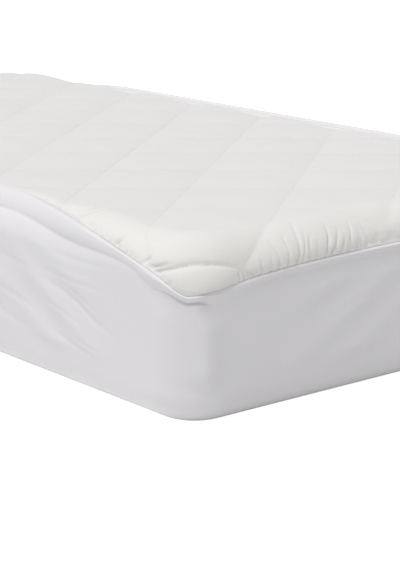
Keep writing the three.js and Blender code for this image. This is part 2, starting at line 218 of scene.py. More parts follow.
class Bed:
    """The rounded block that the cloth lies on. A place on it is a distance round its outline,
    anticlockwise from the middle of the shown corner, and a depth over its surface: out from an
    inner rectangle, round the shoulder, down the wall, round the base edge and back under it."""

    def __init__(self, shape):
        gap = shape.fit_gap
        self.shape = shape
        self.corner = shape.corner_radius
        self.shoulder = shape.shoulder_radius
        self.base = shape.base_radius
        self.middle_x = (BED_LOW.x + BED_HIGH.x) / 2
        self.middle_y = (BED_LOW.y + BED_HIGH.y) / 2
        self.inner_x = HALF_WIDTH + gap - self.corner
        self.inner_y = HALF_LENGTH + gap - self.corner
        self.top = BED_HIGH.z + gap
        self.bottom = BED_LOW.z - gap
        self.half_arc = self.corner * math.pi / 4
        self.outline = 4 * (self.inner_x + self.inner_y) + 8 * self.half_arc
        self.flat_end = self.corner - self.shoulder
        self.shoulder_end = self.flat_end + self.shoulder * math.pi / 2
        self.base_start = self.shoulder_end + self.top - self.shoulder - self.bottom - self.base
        self.base_end = self.base_start + self.base * math.pi / 2

    def around(self, distance):
        """What lies at distances round the outline: the place on the inner rectangle, the way out
        from it, whether it is on an end, how far the nearest corner's middle is, and which it is."""
        distance = np.asarray(distance, float) % self.outline
        x, y, out_x, out_y, from_corner = (np.zeros_like(distance) for _ in range(5))
        is_end = np.zeros(distance.shape, bool)
        corner = np.zeros(distance.shape, int)
        start = 0.0
        for index, side in enumerate(SIDES):
            facing = math.radians(side.facing)
            half, away = (self.inner_x, self.inner_y) if side.is_end else (self.inner_y, self.inner_x)
            reach = half + self.half_arc
            along = distance - start - reach
            here = (along >= -reach) & (along < reach + TINY)
            past = np.maximum(np.abs(along) - half, 0) * np.sign(along)
            turn = facing + past / self.corner
            held = np.clip(along, -half, half)
            x[here] = (math.cos(facing) * away - math.sin(facing) * held)[here]
            y[here] = (math.sin(facing) * away + math.cos(facing) * held)[here]
            out_x[here] = np.cos(turn)[here]
            out_y[here] = np.sin(turn)[here]
            from_corner[here] = (reach - np.abs(along))[here]
            is_end[here] = side.is_end
            corner[here] = np.where(along < 0, index, (index + 1) % 4)[here]
            start += 2 * reach
        return Around(x, y, out_x, out_y, is_end, from_corner, corner)

    def section(self, depth):
        """Reach and height of the surface at a depth, and how far it faces outward and upward."""
        over = np.clip((depth - self.flat_end) / self.shoulder, 0, math.pi / 2)
        under = np.clip((depth - self.base_start) / self.base, 0, math.pi / 2)
        wall = np.clip(depth - self.shoulder_end, 0, self.base_start - self.shoulder_end)
        back = np.maximum(depth - self.base_end, 0)
        reach = np.minimum(depth, self.flat_end) + self.shoulder * np.sin(over)
        reach = reach - self.base * (1 - np.cos(under)) - back
        height = self.top - self.shoulder * (1 - np.cos(over)) - wall - self.base * np.sin(under)
        return reach, height, np.sin(over) + np.cos(under) - 1, np.cos(over) - np.sin(under)

    def place(self, distance, depth, rise):
        """Points at distances round and depths over the surface, lifted off it by rise."""
        at = self.around(distance)
        reach, height, outward, upward = self.section(depth)
        reach = reach + rise * outward
        return np.stack([
            self.middle_x + at.x + at.out_x * reach,
            self.middle_y + at.y + at.out_y * reach,
            height + rise * upward,
        ], axis=-1)

    def seam(self, at):
        """Depth of the seam between pad and skirt. Along the ends it dips softly towards a corner,
        and along the sides it sinks steadily and dips once more at the corner itself."""
        shape = self.shape
        away = (at.from_corner / shape.end_dip_reach) ** END_DIP_POWER
        on_end = shape.seam_at_ends + (shape.seam_at_corners - shape.seam_at_ends) / (1 + away)
        slope = np.clip(1 - at.from_corner / shape.side_slope_length, 0, 1) ** SIDE_SLOPE_POWER
        dip = np.exp(-(at.from_corner / shape.side_dip_reach) ** 2)
        on_side = (shape.seam_at_sides + (shape.seam_beside_corners - shape.seam_at_sides) * slope
                   + (shape.seam_at_corners - shape.seam_beside_corners) * dip)
        return np.where(at.is_end, on_end, on_side)

    def depth_at_height(self, height):
        """Depth on the wall at a height above the floor."""
        return self.shoulder_end + self.top - self.shoulder - height

    def from_corner_walk(self, corner, walk):
        """Distance round the outline of a walk from a corner's middle, along the end side where it
        is positive and along the long side where it is negative."""
        starts = np.cumsum([0] + [
            2 * ((self.inner_x if side.is_end else self.inner_y) + self.half_arc) for side in SIDES[:3]
        ])
        forward = 1 if corner % 2 == 0 else -1
        return starts[corner] + forward * walk

    def spread(self, fine, coarse, reach):
        """Distances round the outline, closer together near the shown corner."""
        count_fine = round(reach / fine)
        count_coarse = round((self.outline - 2 * reach) / coarse)
        return np.concatenate([
            np.linspace(0, reach, count_fine, endpoint=False),
            np.linspace(reach, self.outline - reach, count_coarse, endpoint=False),
            np.linspace(self.outline - reach, self.outline, count_fine, endpoint=False),
        ])


# Curves by which forms rise and fade

def smooth(part):
    """Runs smoothly from 0 to 1 as part does, and stays there outside them."""
    part = np.clip(part, 0, 1)
    return part * part * (3 - 2 * part)


def rounded(part):
    """Rises from 0 to 1 as part does along a quarter of a circle, and stays there."""
    return np.sqrt(1 - (1 - np.minimum(part, 1)) ** 2)


def hill(place, middle, reach):
    """A soft hill of height 1 round a middle."""
    return np.exp(-((place - middle) / reach) ** 2)


def walk_round(at):
    """Walk from the nearest corner's middle, positive along the end and negative along the side."""
    return np.where(at.is_end, at.from_corner, -at.from_corner)


# Creases and folds

# A crease is a path of points in metres, (walk, down) round the bed or (x, y) on its top, how wide
# and how deep it is, how sharp its bottom is, and whether it starts full depth at the seam
Crease = namedtuple("Crease", "path width depth sharpness rooted")

# Sharpness of a gather and of a fold, the powers of the tapers of creases that start at the seam
# and of others, and how many widths away from its path a crease has faded
GATHER_SHARPNESS, FOLD_SHARPNESS = 1.3, 1.5
ROOTED_TAPER, FREE_TAPER = 0.8, 0.7
CREASE_MARGIN = 3.2


def crease_depth(bed, distance, down, creases):
    """How deep all creases together are at places on the surface."""
    total = np.zeros(np.broadcast(distance, down).shape)
    distance, down = np.broadcast_arrays(distance, down)
    for crease in creases:
        walks = [point[0] for point in crease.path]
        downs = [point[1] for point in crease.path]
        margin = CREASE_MARGIN * crease.width
        middle = (min(walks) + max(walks)) / 2
        half = (max(walks) - min(walks)) / 2 + margin
        walk = (distance - middle + bed.outline / 2) % bed.outline - bed.outline / 2
        near = (np.abs(walk) < half) & (down > min(downs) - margin) & (down < max(downs) + margin)
        if not near.any():
            continue
        walk, below = walk[near] + middle, down[near]
        nearest = np.full(walk.shape, np.inf)
        along = np.zeros(walk.shape)
        segments = list(zip(crease.path[:-1], crease.path[1:]))
        for index, (start, end) in enumerate(segments):
            run = (end[0] - start[0], end[1] - start[1])
            span = run[0] ** 2 + run[1] ** 2
            part = np.clip(((walk - start[0]) * run[0] + (below - start[1]) * run[1]) / span, 0, 1)
            away = np.hypot(walk - start[0] - part * run[0], below - start[1] - part * run[1])
            closer = away < nearest
            nearest[closer] = away[closer]
            along[closer] = (index + part[closer]) / len(segments)
        if crease.rooted:
            taper = np.cos(along * math.pi / 2) ** ROOTED_TAPER
        else:
            taper = np.sin(along * math.pi) ** FREE_TAPER
        total[near] += crease.depth * taper * np.exp(-(nearest / crease.width) ** crease.sharpness)
    return total


def soft_noise(x, y, size, layer):
    """Smooth unevenness between about -0.5 and 0.5, of bumps about size across."""
    places = zip((x / size).ravel(), (y / size).ravel())
    values = [noise.noise((a, b, layer)) for a, b in places]
    return np.array(values).reshape(x.shape)


# Gathers on the shoulder at the shown corner, in millimetres: the points of each from the seam up,
# by their walk from the corner's middle and their depth over the edge, and how wide and deep it is
SHOWN_GATHERS = [
    (((132, 119), (129, 106), (128, 94)), 2.0, 4.0),
    (((149, 118), (150, 90)), 2.4, 2.2),
    (((166, 116), (166, 101), (161, 86), (156, 68)), 2.2, 4.5),
    (((185, 113), (187, 95), (186, 78), (188, 62)), 2.4, 4.2),
    (((203, 113), (209, 102), (212, 88), (218, 62), (225, 45)), 2.4, 8.0),
    (((214, 112), (222, 92), (232, 66)), 2.4, 3.0),
    (((232, 112), (231, 92), (239, 74)), 2.2, 5.0),
    (((247, 111), (247, 100), (250, 84)), 2.2, 3.0),
    (((267, 112), (270, 96), (277, 82), (281, 60)), 2.4, 7.5),
    (((276, 110), (287, 99), (294, 86), (304, 70)), 2.4, 4.5),
    (((299, 110), (304, 100), (312, 84)), 2.4, 3.6),
    (((318, 110), (322, 92), (334, 62)), 2.6, 5.0),
    (((334, 110), (340, 92)), 2.4, 3.2),
    (((84, 124), (83, 114), (82, 105)), 1.6, 6.0),
    (((94, 123), (92, 115), (89, 109)), 1.6, 6.0),
    (((105, 122), (101, 116), (97, 110)), 1.6, 6.0),
    (((115, 120), (110, 116), (105, 112)), 1.6, 5.0),
    (((-76, 106), (-65, 101), (-49, 97), (-36, 94), (-19, 91)), 2.0, 6.5),
    (((-56, 109), (-48, 104), (-34, 100), (-19, 98)), 1.8, 3.5),
    (((-92, 107), (-84, 97), (-77, 92), (-66, 85)), 2.2, 7.5),
    (((-29, 122), (-24, 118), (-20, 113)), 2.6, 2.2),
    (((-167, 92), (-161, 83), (-157, 78), (-147, 64)), 2.6, 7.5),
    (((-293, 66), (-289, 55), (-286, 49), (-280, 43), (-273, 33), (-267, 18), (-262, 2)), 3.4, 11.0),
    (((-136, 97), (-132, 91), (-128, 85)), 1.9, 2.6),
    (((-118, 100), (-113, 94)), 1.9, 2.4),
    (((-205, 82), (-200, 74)), 1.9, 2.6),
    (((-232, 77), (-229, 70)), 1.9, 2.4),
    (((-252, 73), (-247, 65)), 1.9, 2.6),
]

# How far those gathers reach along the end and along the side in place of the uneven ones by rule
SHOWN_END_REACH, SHOWN_SIDE_REACH = 345 * MM, 90 * MM

# Creases on the flat top, in millimetres in from the left side and up from the foot end of the
# bed's inner rectangle: the points of each, and how wide and deep it is
TOP_CREASES = [
    (((439, 265), (490, 316), (537, 346), (561, 355)), 7, 1.3),
    (((125, 395), (57, 343), (5, 304)), 9, 0.8),
    (((150, 560), (215, 600), (300, 640)), 10, 0.7),
    (((640, 470), (700, 540), (745, 575)), 8, 0.9),
    (((330, 1130), (390, 1180), (430, 1230)), 9, 1.0),
    (((560, 1390), (640, 1420), (700, 1480)), 9, 0.9),
]

# Rules for the other gathers and for the small tucks that the seam draws in all round: limits of
# their spacing, length, width and depth, and the most that they slant, in millimetres
GatherRule = namedtuple("GatherRule", "spacing length width depth slant")
END_GATHERS = GatherRule((12, 26), (18, 62), (2.6, 3.4), (1.6, 4.6), 14)
SIDE_GATHERS = GatherRule((8, 26), (6, 20), (2.0, 3.0), (0.6, 1.8), 5)
SEAM_TUCKS = GatherRule((8, 15), (5, 13), (2.2, 3.2), (0.8, 2.6), 2)

# Near a corner they are smaller: their share of full size grows by one over SHRINK_LENGTH, from
# SHRINK_OFFSET under nothing at the corner's middle, and is never under LEAST_SIZE
SHRINK_LENGTH, SHRINK_OFFSET, LEAST_SIZE = 70 * MM, 0.4, 0.15

# Share of its slant that a gather has halfway up
HALFWAY_SLANT = 0.4

# Start of the random draws for these rules
GATHER_SEED = 11


def shown_gathers():
    return [
        Crease([(walk * MM, down * MM) for walk, down in path], width * MM, depth * MM,
               GATHER_SHARPNESS, True)
        for path, width, depth in SHOWN_GATHERS
    ]


def top_creases(bed):
    creases = []
    for path, width, depth in TOP_CREASES:
        places = [(x * MM - bed.inner_x, y * MM - bed.inner_y) for x, y in path]
        creases.append(Crease(places, width * MM, depth * MM, FOLD_SHARPNESS, False))
    return creases


def gathers_by_rule(bed, chance, start, stop, rule_at):
    """Uneven gathers along a stretch of the seam, by the rule that rule_at gives for each place."""
    creases = []
    walk = start
    while walk < stop:
        at = bed.around(walk)
        rule = rule_at(at)
        seam = float(bed.seam(at))
        size = min(max(float(at.from_corner) / SHRINK_LENGTH - SHRINK_OFFSET, LEAST_SIZE), 1)
        reach = chance.uniform(*rule.length) * MM * size
        slant = chance.uniform(-rule.slant, rule.slant) * MM
        path = [
            (walk, seam),
            (walk + slant * HALFWAY_SLANT, seam - reach / 2),
            (walk + slant, seam - reach),
        ]
        width = chance.uniform(*rule.width) * MM
        depth = chance.uniform(*rule.depth) * MM * size
        creases.append(Crease(path, width, depth, GATHER_SHARPNESS, True))
        walk += chance.uniform(*rule.spacing) * MM
    return creases


def all_gathers(bed):
    """The shown gathers, the uneven ones on the other stretches and the small tucks all round."""
    chance = random.Random(GATHER_SEED)
    rest = gathers_by_rule(
        bed, chance, SHOWN_END_REACH, bed.outline - SHOWN_SIDE_REACH,
        lambda at: END_GATHERS if at.is_end else SIDE_GATHERS)
    tucks = gathers_by_rule(bed, chance, 0.0, bed.outline, lambda at: SEAM_TUCKS)
    return shown_gathers() + rest + tucks


# Drag folds of the skirt, in millimetres and the same in from every corner: where the fold's
# middle lies from the corner and above the floor, its length, how far it climbs for each
# millimetre away from the corner, and how proud and broad it is
DragFold = namedtuple("DragFold", "away above length climb proud broad")
DRAG_FOLDS = [
    DragFold(300, 205, 170, 0.35, 3.5, 26),
    DragFold(330, 150, 210, 0.55, 5.5, 28),
    DragFold(345, 85, 170, 0.45, 4.5, 26),
    DragFold(560, 175, 240, 0.3, 4, 30),
    DragFold(620, 105, 220, 0.35, 4, 30),
]

# Finer creases of the skirt beside a corner, in millimetres: the points of each by their walk from
# the corner's middle and their height above the floor, and how wide and deep it is
SIDE_CREASES = [
    (((-175, 228), (-255, 227), (-360, 231)), 4, 1.1),
    (((-215, 206), (-270, 208), (-330, 214)), 4, 0.8),
    (((-190, 188), (-262, 190), (-370, 198)), 4, 1.3),
    (((-158, 118), (-216, 136), (-257, 156), (-300, 171), (-365, 184)), 5, 2.4),
    (((-215, 152), (-262, 171), (-318, 186)), 4, 1.3),
    (((-196, 68), (-250, 79), (-290, 88), (-350, 103)), 4.5, 1.8),
    (((-222, 49), (-281, 60), (-345, 72)), 4.5, 1.8),
    (((-190, 82), (-230, 88), (-270, 96)), 4, 1.2),
    (((-240, 118), (-290, 134), (-370, 152)), 4.5, 1.2),
    (((-370, 120), (-440, 136), (-520, 147)), 6, 1.6),
    (((-380, 190), (-470, 199), (-560, 204)), 6, 1.5),
    (((-390, 80), (-470, 98), (-540, 108)), 6, 1.5),
]
END_CREASES = [
    (((206, 146), (262, 159), (330, 175)), 4, 0.9),
    (((219, 156), (270, 168), (340, 186)), 3.5, 0.8),
    (((232, 165), (275, 176), (340, 194)), 4, 1.1),
    (((262, 181), (300, 191), (350, 205)), 3.5, 0.9),
    (((248, 186), (285, 196), (350, 214)), 4, 1.0),
    (((190, 159), (250, 171), (300, 181)), 3.5, 0.6),
    (((240, 198), (290, 207), (340, 219)), 3.5, 0.8),
    (((262, 140), (320, 152), (380, 170)), 4, 0.8),
    (((285, 150), (330, 160), (390, 178)), 3.5, 0.7),
]

# How each corner's creases differ from the shown one's: a shift away from the corner in
# millimetres and a share of their depth
CORNER_CHANGES = [(0, 1.0), (26, 0.8), (-14, 1.1), (17, 0.9)]

# Shares of the tables' depths that the creases have along an end and along a side, and of their
# widths
END_CREASE_DEPTH, SIDE_CREASE_DEPTH, CREASE_WIDTH = 0.9, 0.75, 0.9


def skirt_creases(bed):
    creases = []
    for corner, (shift, strength) in enumerate(CORNER_CHANGES):
        for path, width, depth in SIDE_CREASES + END_CREASES:
            along_end = path[0][0] > 0
            places = [
                (
                    bed.from_corner_walk(corner, (walk + math.copysign(shift, walk)) * MM),
                    bed.depth_at_height(height * MM),
                )
                for walk, height in path
            ]
            depth = depth * (END_CREASE_DEPTH if along_end else SIDE_CREASE_DEPTH) * strength
            creases.append(Crease(places, width * CREASE_WIDTH * MM, depth * MM, FOLD_SHARPNESS, False))
    return creases


# Quilting

# The falling quilting lines are numbered from the crossing in the settings. At two corners the line
# before the first and the one after the last are drawn down over the shoulder into arcs, here in
# millimetres: how deep each one lies, how much it bends, how far along the end its shallowest place
# is, and how far past that it starts to run straight.
FIRST_FALLING_LINE = 0
LAST_FALLING_LINE = 9
Arc = namedtuple("Arc", "depth bend walk straight")
CORNER_ARCS = {0: Arc(92, 0.0031, 22, 66), 2: Arc(99, 0.0027, -12, 80)}

# How far round a corner its arc may reach
ARC_ZONE = 400 * MM

# How much the flat cloth is eased at a corner, how far from its middle that reaches, and the power
# by which it fades
CORNER_EASE, EASE_REACH, EASE_POWER = 0.12, 200 * MM, 4

# Power by which a puff rounds up from a line
CROWN_POWER = 3

# Shares of a puff's height that lie in the sharp dip along an arc, above it and below it
ARC_DIP_ABOVE, ARC_DIP_BELOW = 0.6, 0.55

# Broad and small lumps of the fill: their size, layer of the noise and strength
Lumps = namedtuple("Lumps", "size layer strength")
FILL_LUMPS = [Lumps(110 * MM, 0.0, 1.4), Lumps(38 * MM, 7.3, 0.7)]


def eased_place(bed, distance, depth):
    """Place on the flat cloth of places round the edge, where it is eased a little at a corner."""
    at = bed.around(distance)
    eased = 1 + CORNER_EASE / (1 + (at.from_corner / EASE_REACH) ** EASE_POWER)
    cloth = np.where(depth > bed.flat_end, bed.flat_end + (depth - bed.flat_end) * eased, depth)
    return at.x + at.out_x * cloth, at.y + at.out_y * cloth


def line_counts(bed, quilt, distance, depth):
    """Counts of rising and falling quilting lines at places round the edge: whole numbers lie on a
    line."""
    across, along = quilt_place(quilt, *eased_place(bed, distance, depth))
    return along - across, along + across


def nearest_lines(counts):
    """Numbers of the nearest rising and falling line at counts of lines."""
    rising, falling = counts
    return np.round(rising), np.clip(np.round(falling), FIRST_FALLING_LINE, LAST_FALLING_LINE)


def arc_depth(arc, walk):
    """Depth of a corner's arc at a walk from the corner's middle."""
    off = walk / MM - arc.walk
    past = np.maximum(off - arc.straight, 0)
    return (arc.depth + arc.bend * (off ** 2 - past ** 2)) * MM


def quilt_place(quilt, x, y):
    """Place on the flat cloth in diamonds across and along."""
    across = (x + HALF_WIDTH - quilt.crossing_from_side) / quilt.diamond_width
    along = (y + HALF_LENGTH - quilt.crossing_from_foot) / quilt.diamond_length
    return across, along


def line_spacing(quilt):
    """Distance between two neighbouring quilting lines."""
    return 1 / math.hypot(1 / quilt.diamond_width, 1 / quilt.diamond_length)


def crown(quilt, away):
    """Height of a puff at a distance from a quilting line, from 0 on the line to 1."""
    broad = 1 - (1 - np.minimum(2 * away / line_spacing(quilt), 1)) ** CROWN_POWER
    sharp = 1 - np.exp(-away / quilt.notch_width)
    return broad * (1 - quilt.notch_share) + sharp * quilt.notch_share


def puffs_between(quilt, counts, falling_share):
    """Puff height between rising and falling lines, where falling channels keep a share of their
    depth."""
    rising, falling = (
        crown(quilt, np.abs(count - number) * line_spacing(quilt))
        for count, number in zip(counts, nearest_lines(counts)))
    return rising * (1 - falling_share * (1 - falling))


def puffs_on_shoulder(bed, quilt, distance, depth, bent):
    """Puff height round the edge, by the distances over the cloth to the nearest lines, where bent
    is how far the cloth has come off the stretched top, from 0 to 1."""
    at = bed.around(distance)
    counts = line_counts(bed, quilt, distance, depth)
    falling_share = quilt.falling_share + (1 - quilt.falling_share) * bent
    height = puffs_between(quilt, counts, falling_share)
    for corner, arc in CORNER_ARCS.items():
        below = depth - arc_depth(arc, walk_round(at))
        sharp = 1 - np.exp(-np.abs(below) / quilt.arc_notch_width)
        upper = (1 - ARC_DIP_ABOVE) * crown(quilt, np.maximum(-below, 0)) + ARC_DIP_ABOVE * sharp
        full = 1 - np.exp(-np.maximum(below, 0) / quilt.pillow_slope)
        lower = ARC_DIP_BELOW * sharp + (1 - ARC_DIP_BELOW + quilt.pillow_rise) * full
        reached = (at.corner == corner) & (at.from_corner < ARC_ZONE)
        height = height * np.where(reached, np.where(below < 0, upper, lower), 1)
    return height


def puffs_on_top(quilt, x, y):
    """Puff height on the flat top, from places measured from the bed's middle."""
    across, along = quilt_place(quilt, x, y)
    return puffs_between(quilt, (along - across, along + across), quilt.falling_share)


def fill_unevenness(quilt, x, y):
    lumps = (lump.strength * soft_noise(x, y, lump.size, lump.layer) for lump in FILL_LUMPS)
    return quilt.unevenness * sum(lumps)


# Where a lip runs out past its own reach, as shares of that reach: the middle of that place, and
# how far it extends
RUN_OUT_MIDDLE, RUN_OUT_REACH = 1.3, 0.85

Roll = namedtuple("Roll", "height proud lip hang")


def roll_sizes(skirt, at):
    """Height of the roll at places round the seam, how proud it is, how much of a lip it is and how
    far it hangs over its own root."""
    away = at.from_corner
    lip = np.where(
        at.is_end, 1 - smooth((away - skirt.lip_hold) / (skirt.lip_end - skirt.lip_hold)),
        hill(away, 0, skirt.lip_reach))
    far = smooth((away - skirt.roll_start) / (skirt.roll_full - skirt.roll_start))
    side_height = skirt.cord_height + (skirt.roll_height - skirt.cord_height) * far
    side_proud = skirt.cord_proud + (skirt.roll_proud - skirt.cord_proud) * far
    height = np.where(at.is_end, skirt.bead_height, side_height)
    height = height + skirt.lip_drop * hill(away / skirt.lip_reach, RUN_OUT_MIDDLE, RUN_OUT_REACH)
    proud = np.where(at.is_end, skirt.bead_proud, side_proud)
    return Roll(
        height + (skirt.lip_height - height) * lip, proud + (skirt.lip_proud - proud) * lip,
        lip, skirt.lip_hang * lip)


# Share of its bulge that the roll has at the seam along a side, a corner and an end
ROLL_AT_SEAM, LIP_AT_SEAM, BEAD_AT_SEAM = 0.45, 0.85, 0.3

# Part of the way down at which a round roll and a ledge stand out most
ROLL_CREST, BEAD_CREST = 0.16, 0.3

# How much a side's roll is like the ledge along an end, which runs out softly below, and the powers
# by which a round roll and a ledge come back to the wall
SIDE_LEDGE = 0.6
TURN_POWER, LEDGE_POWER = 0.75, 1.2


def roll_section(skirt, at, part):
    """Share of its bulge that the roll has at a part of the way down: up to its crest, then round
    and turned under, or a ledge that runs out softly, as it does most along an end."""
    lip = roll_sizes(skirt, at).lip
    ledge = (1 - lip) * np.where(at.is_end, 1, SIDE_LEDGE)
    at_seam = np.where(at.is_end, BEAD_AT_SEAM, ROLL_AT_SEAM)
    at_seam = at_seam + (LIP_AT_SEAM - at_seam) * lip
    crest = ROLL_CREST + (BEAD_CREST - ROLL_CREST) * ledge
    climb = at_seam + (1 - at_seam) * np.sin(np.minimum(part / crest, 1) * math.pi / 2)
    under = np.clip((part - crest) / (1 - crest), 0, 1)
    turned = (1 - under ** 2) ** TURN_POWER
    return climb * (turned + ((1 - under) ** LEDGE_POWER - turned) * ledge)


class Pad:
    """Heights of the quilted pad above the bed."""

    # Share of the shoulder over which the stretched top gives way to full puffs
    BEND_SHARE = 0.8
    # Power by which the pad's edge is drawn in towards the seam
    DRAWN_POWER = 1.5

    def __init__(self, bed, quilt, skirt):
        self.bed = bed
        self.quilt = quilt
        self.skirt = skirt
        self.gathers = all_gathers(bed)
        self.creases = top_creases(bed)

    def rise_on_top(self, x, y):
        puffs = puffs_on_top(self.quilt, x, y)
        lift = self.quilt.top_rise + fill_unevenness(self.quilt, x, y)
        return self.quilt.channel_thickness + lift * puffs - crease_depth(self.bed, x, y, self.creases)

    def rise_on_shoulder(self, distance, depth):
        bed, quilt = self.bed, self.quilt
        at = bed.around(distance)
        to_seam = np.maximum(bed.seam(at) - depth, 0)
        bent = smooth((depth - bed.flat_end) / (bed.shoulder * self.BEND_SHARE))
        puffs = puffs_on_shoulder(bed, quilt, distance, depth, bent)
        x = at.x + at.out_x * depth
        y = at.y + at.out_y * depth
        crown_rise = quilt.top_rise + (quilt.crown_rise - quilt.top_rise) * bent
        full = quilt.channel_thickness + (crown_rise + fill_unevenness(quilt, x, y)) * puffs
        full = full + self.sag(at, to_seam)
        proud = roll_sizes(self.skirt, at).proud
        cornered = self.cornered(at)
        drawn = np.where(at.is_end, quilt.edge_drawn, quilt.side_drawn)
        drawn = drawn + (quilt.corner_drawn - drawn) * cornered
        reach = quilt.edge_reach + (quilt.corner_edge_reach - quilt.edge_reach) * cornered
        full = full * (1 - drawn * np.exp(-(to_seam / reach) ** self.DRAWN_POWER))
        full = full - crease_depth(bed, distance, depth, self.gathers)
        edge = self.skirt.thickness + proud * roll_section(self.skirt, at, 0) - self.skirt.groove
        near = hill(to_seam, 0, quilt.edge_hold)
        full = np.maximum(full, quilt.edge_thickness + (edge - quilt.edge_thickness) * near)
        return edge + (full - edge) * rounded(to_seam / quilt.edge_roll)

    def cornered(self, at):
        """How much of a corner's fuller shoulder the pad has at places round the edge."""
        reach = np.where(at.is_end, self.quilt.sag_reach, self.quilt.lip_sag_reach)
        return hill(at.from_corner, 0, reach)

    def sag(self, at, to_seam):
        """How much fuller the fill is low on the shoulder, where it has slid down: round the
        corners, and most just past each lip, where it hangs over the seam."""
        quilt = self.quilt
        low = hill(to_seam, 0, quilt.sag_height)
        past_lip = hill(walk_round(at), quilt.hang_middle, quilt.hang_reach)
        return low * (quilt.corner_sag * self.cornered(at) + quilt.hang_sag * past_lip)

    def top_points(self, x, y):
        """Points on the flat top, from places measured from the bed's middle."""
        height = self.bed.top + self.rise_on_top(x, y)
        return np.stack([self.bed.middle_x + x, self.bed.middle_y + y, height], axis=-1)

    def shoulder_points(self, distance, depth):
        return self.bed.place(distance, depth, self.rise_on_shoulder(distance, depth))


# Mesh making

def grid_faces(rows, columns, first, closed):
    """Four-sided faces of a grid of points counted row by row, closed round its columns or not."""
    row, column = np.meshgrid(np.arange(rows - 1), np.arange(columns if closed else columns - 1),
                              indexing="ij")
    beside = (column + 1) % columns
    corners = [row * columns + column, (row + 1) * columns + column,
               (row + 1) * columns + beside, row * columns + beside]
    return first + np.stack([corner.ravel() for corner in corners], axis=-1)


def zip_rings(points, inner, outer):
    """Triangles between two rings of point numbers that both go round anticlockwise."""
    def gap(a, b):
        return float(np.linalg.norm(points[a] - points[b]))

    faces = []
    i = j = 0
    while i < len(inner) or j < len(outer):
        a, b = inner[i % len(inner)], outer[j % len(outer)]
        next_a, next_b = inner[(i + 1) % len(inner)], outer[(j + 1) % len(outer)]
        if j == len(outer) or (i < len(inner) and gap(next_a, b) < gap(a, next_b)):
            faces.append((a, b, next_a))
            i += 1
        else:
            faces.append((a, b, next_b))
            j += 1
    return faces


def make_piece(name, points, faces, material, cloth_places=None, wrap=None):
    """A smooth mesh piece with a material. cloth_places are the places of its points on the flat
    cloth in metres, kept as a UV map, and wrap is where those places start again from 0."""
    mesh = bpy.data.meshes.new(name)
    mesh.from_pydata([tuple(point) for point in points], [], [tuple(map(int, face)) for face in faces])
    mesh.validate()
    mesh.shade_smooth()
    if cloth_places is not None:
        layer = mesh.uv_layers.new(name="cloth")
        corners = np.zeros(len(mesh.loops), int)
        mesh.loops.foreach_get("vertex_index", corners)
        flat = np.asarray(cloth_places, float)[corners]
        if wrap is not None:
            starts = np.zeros(len(mesh.polygons), int)
            totals = np.zeros(len(mesh.polygons), int)
            mesh.polygons.foreach_get("loop_start", starts)
            mesh.polygons.foreach_get("loop_total", totals)
            most = np.repeat(np.maximum.reduceat(flat[:, 0], starts), totals)
            flat[:, 0] += np.where(most - flat[:, 0] > wrap / 2, wrap, 0)
        layer.uv.foreach_set("vector", flat.astype(np.float32).ravel())
    mesh.materials.append(material)
    piece = bpy.data.objects.new(name, mesh)
    bpy.context.scene.collection.objects.link(piece)
    return piece


# Steps of the pad's mesh round the edge: fine ones within a reach of the shown corner's middle, and
# coarse ones elsewhere
PAD_STEPS = dict(fine=1.5 * MM, coarse=5.8 * MM, reach=400 * MM)

# Rows of points over the shoulder, and the power by which they crowd towards the seam
SHOULDER_ROWS, SHOULDER_CROWDING = 42, 1.2

# Rows on the underside, and the share of the flat edge strip that the grid on the top covers
UNDER_ROWS = 5
GRID_SHARE = 0.7


def grid_lines(start, cell, reach):
    """Places of a grid's lines within reach of the bed's middle, one of them at start."""
    first = math.ceil((-reach - start) / cell)
    last = math.floor((reach - start) / cell)
    return start + cell * np.arange(first, last + 1)


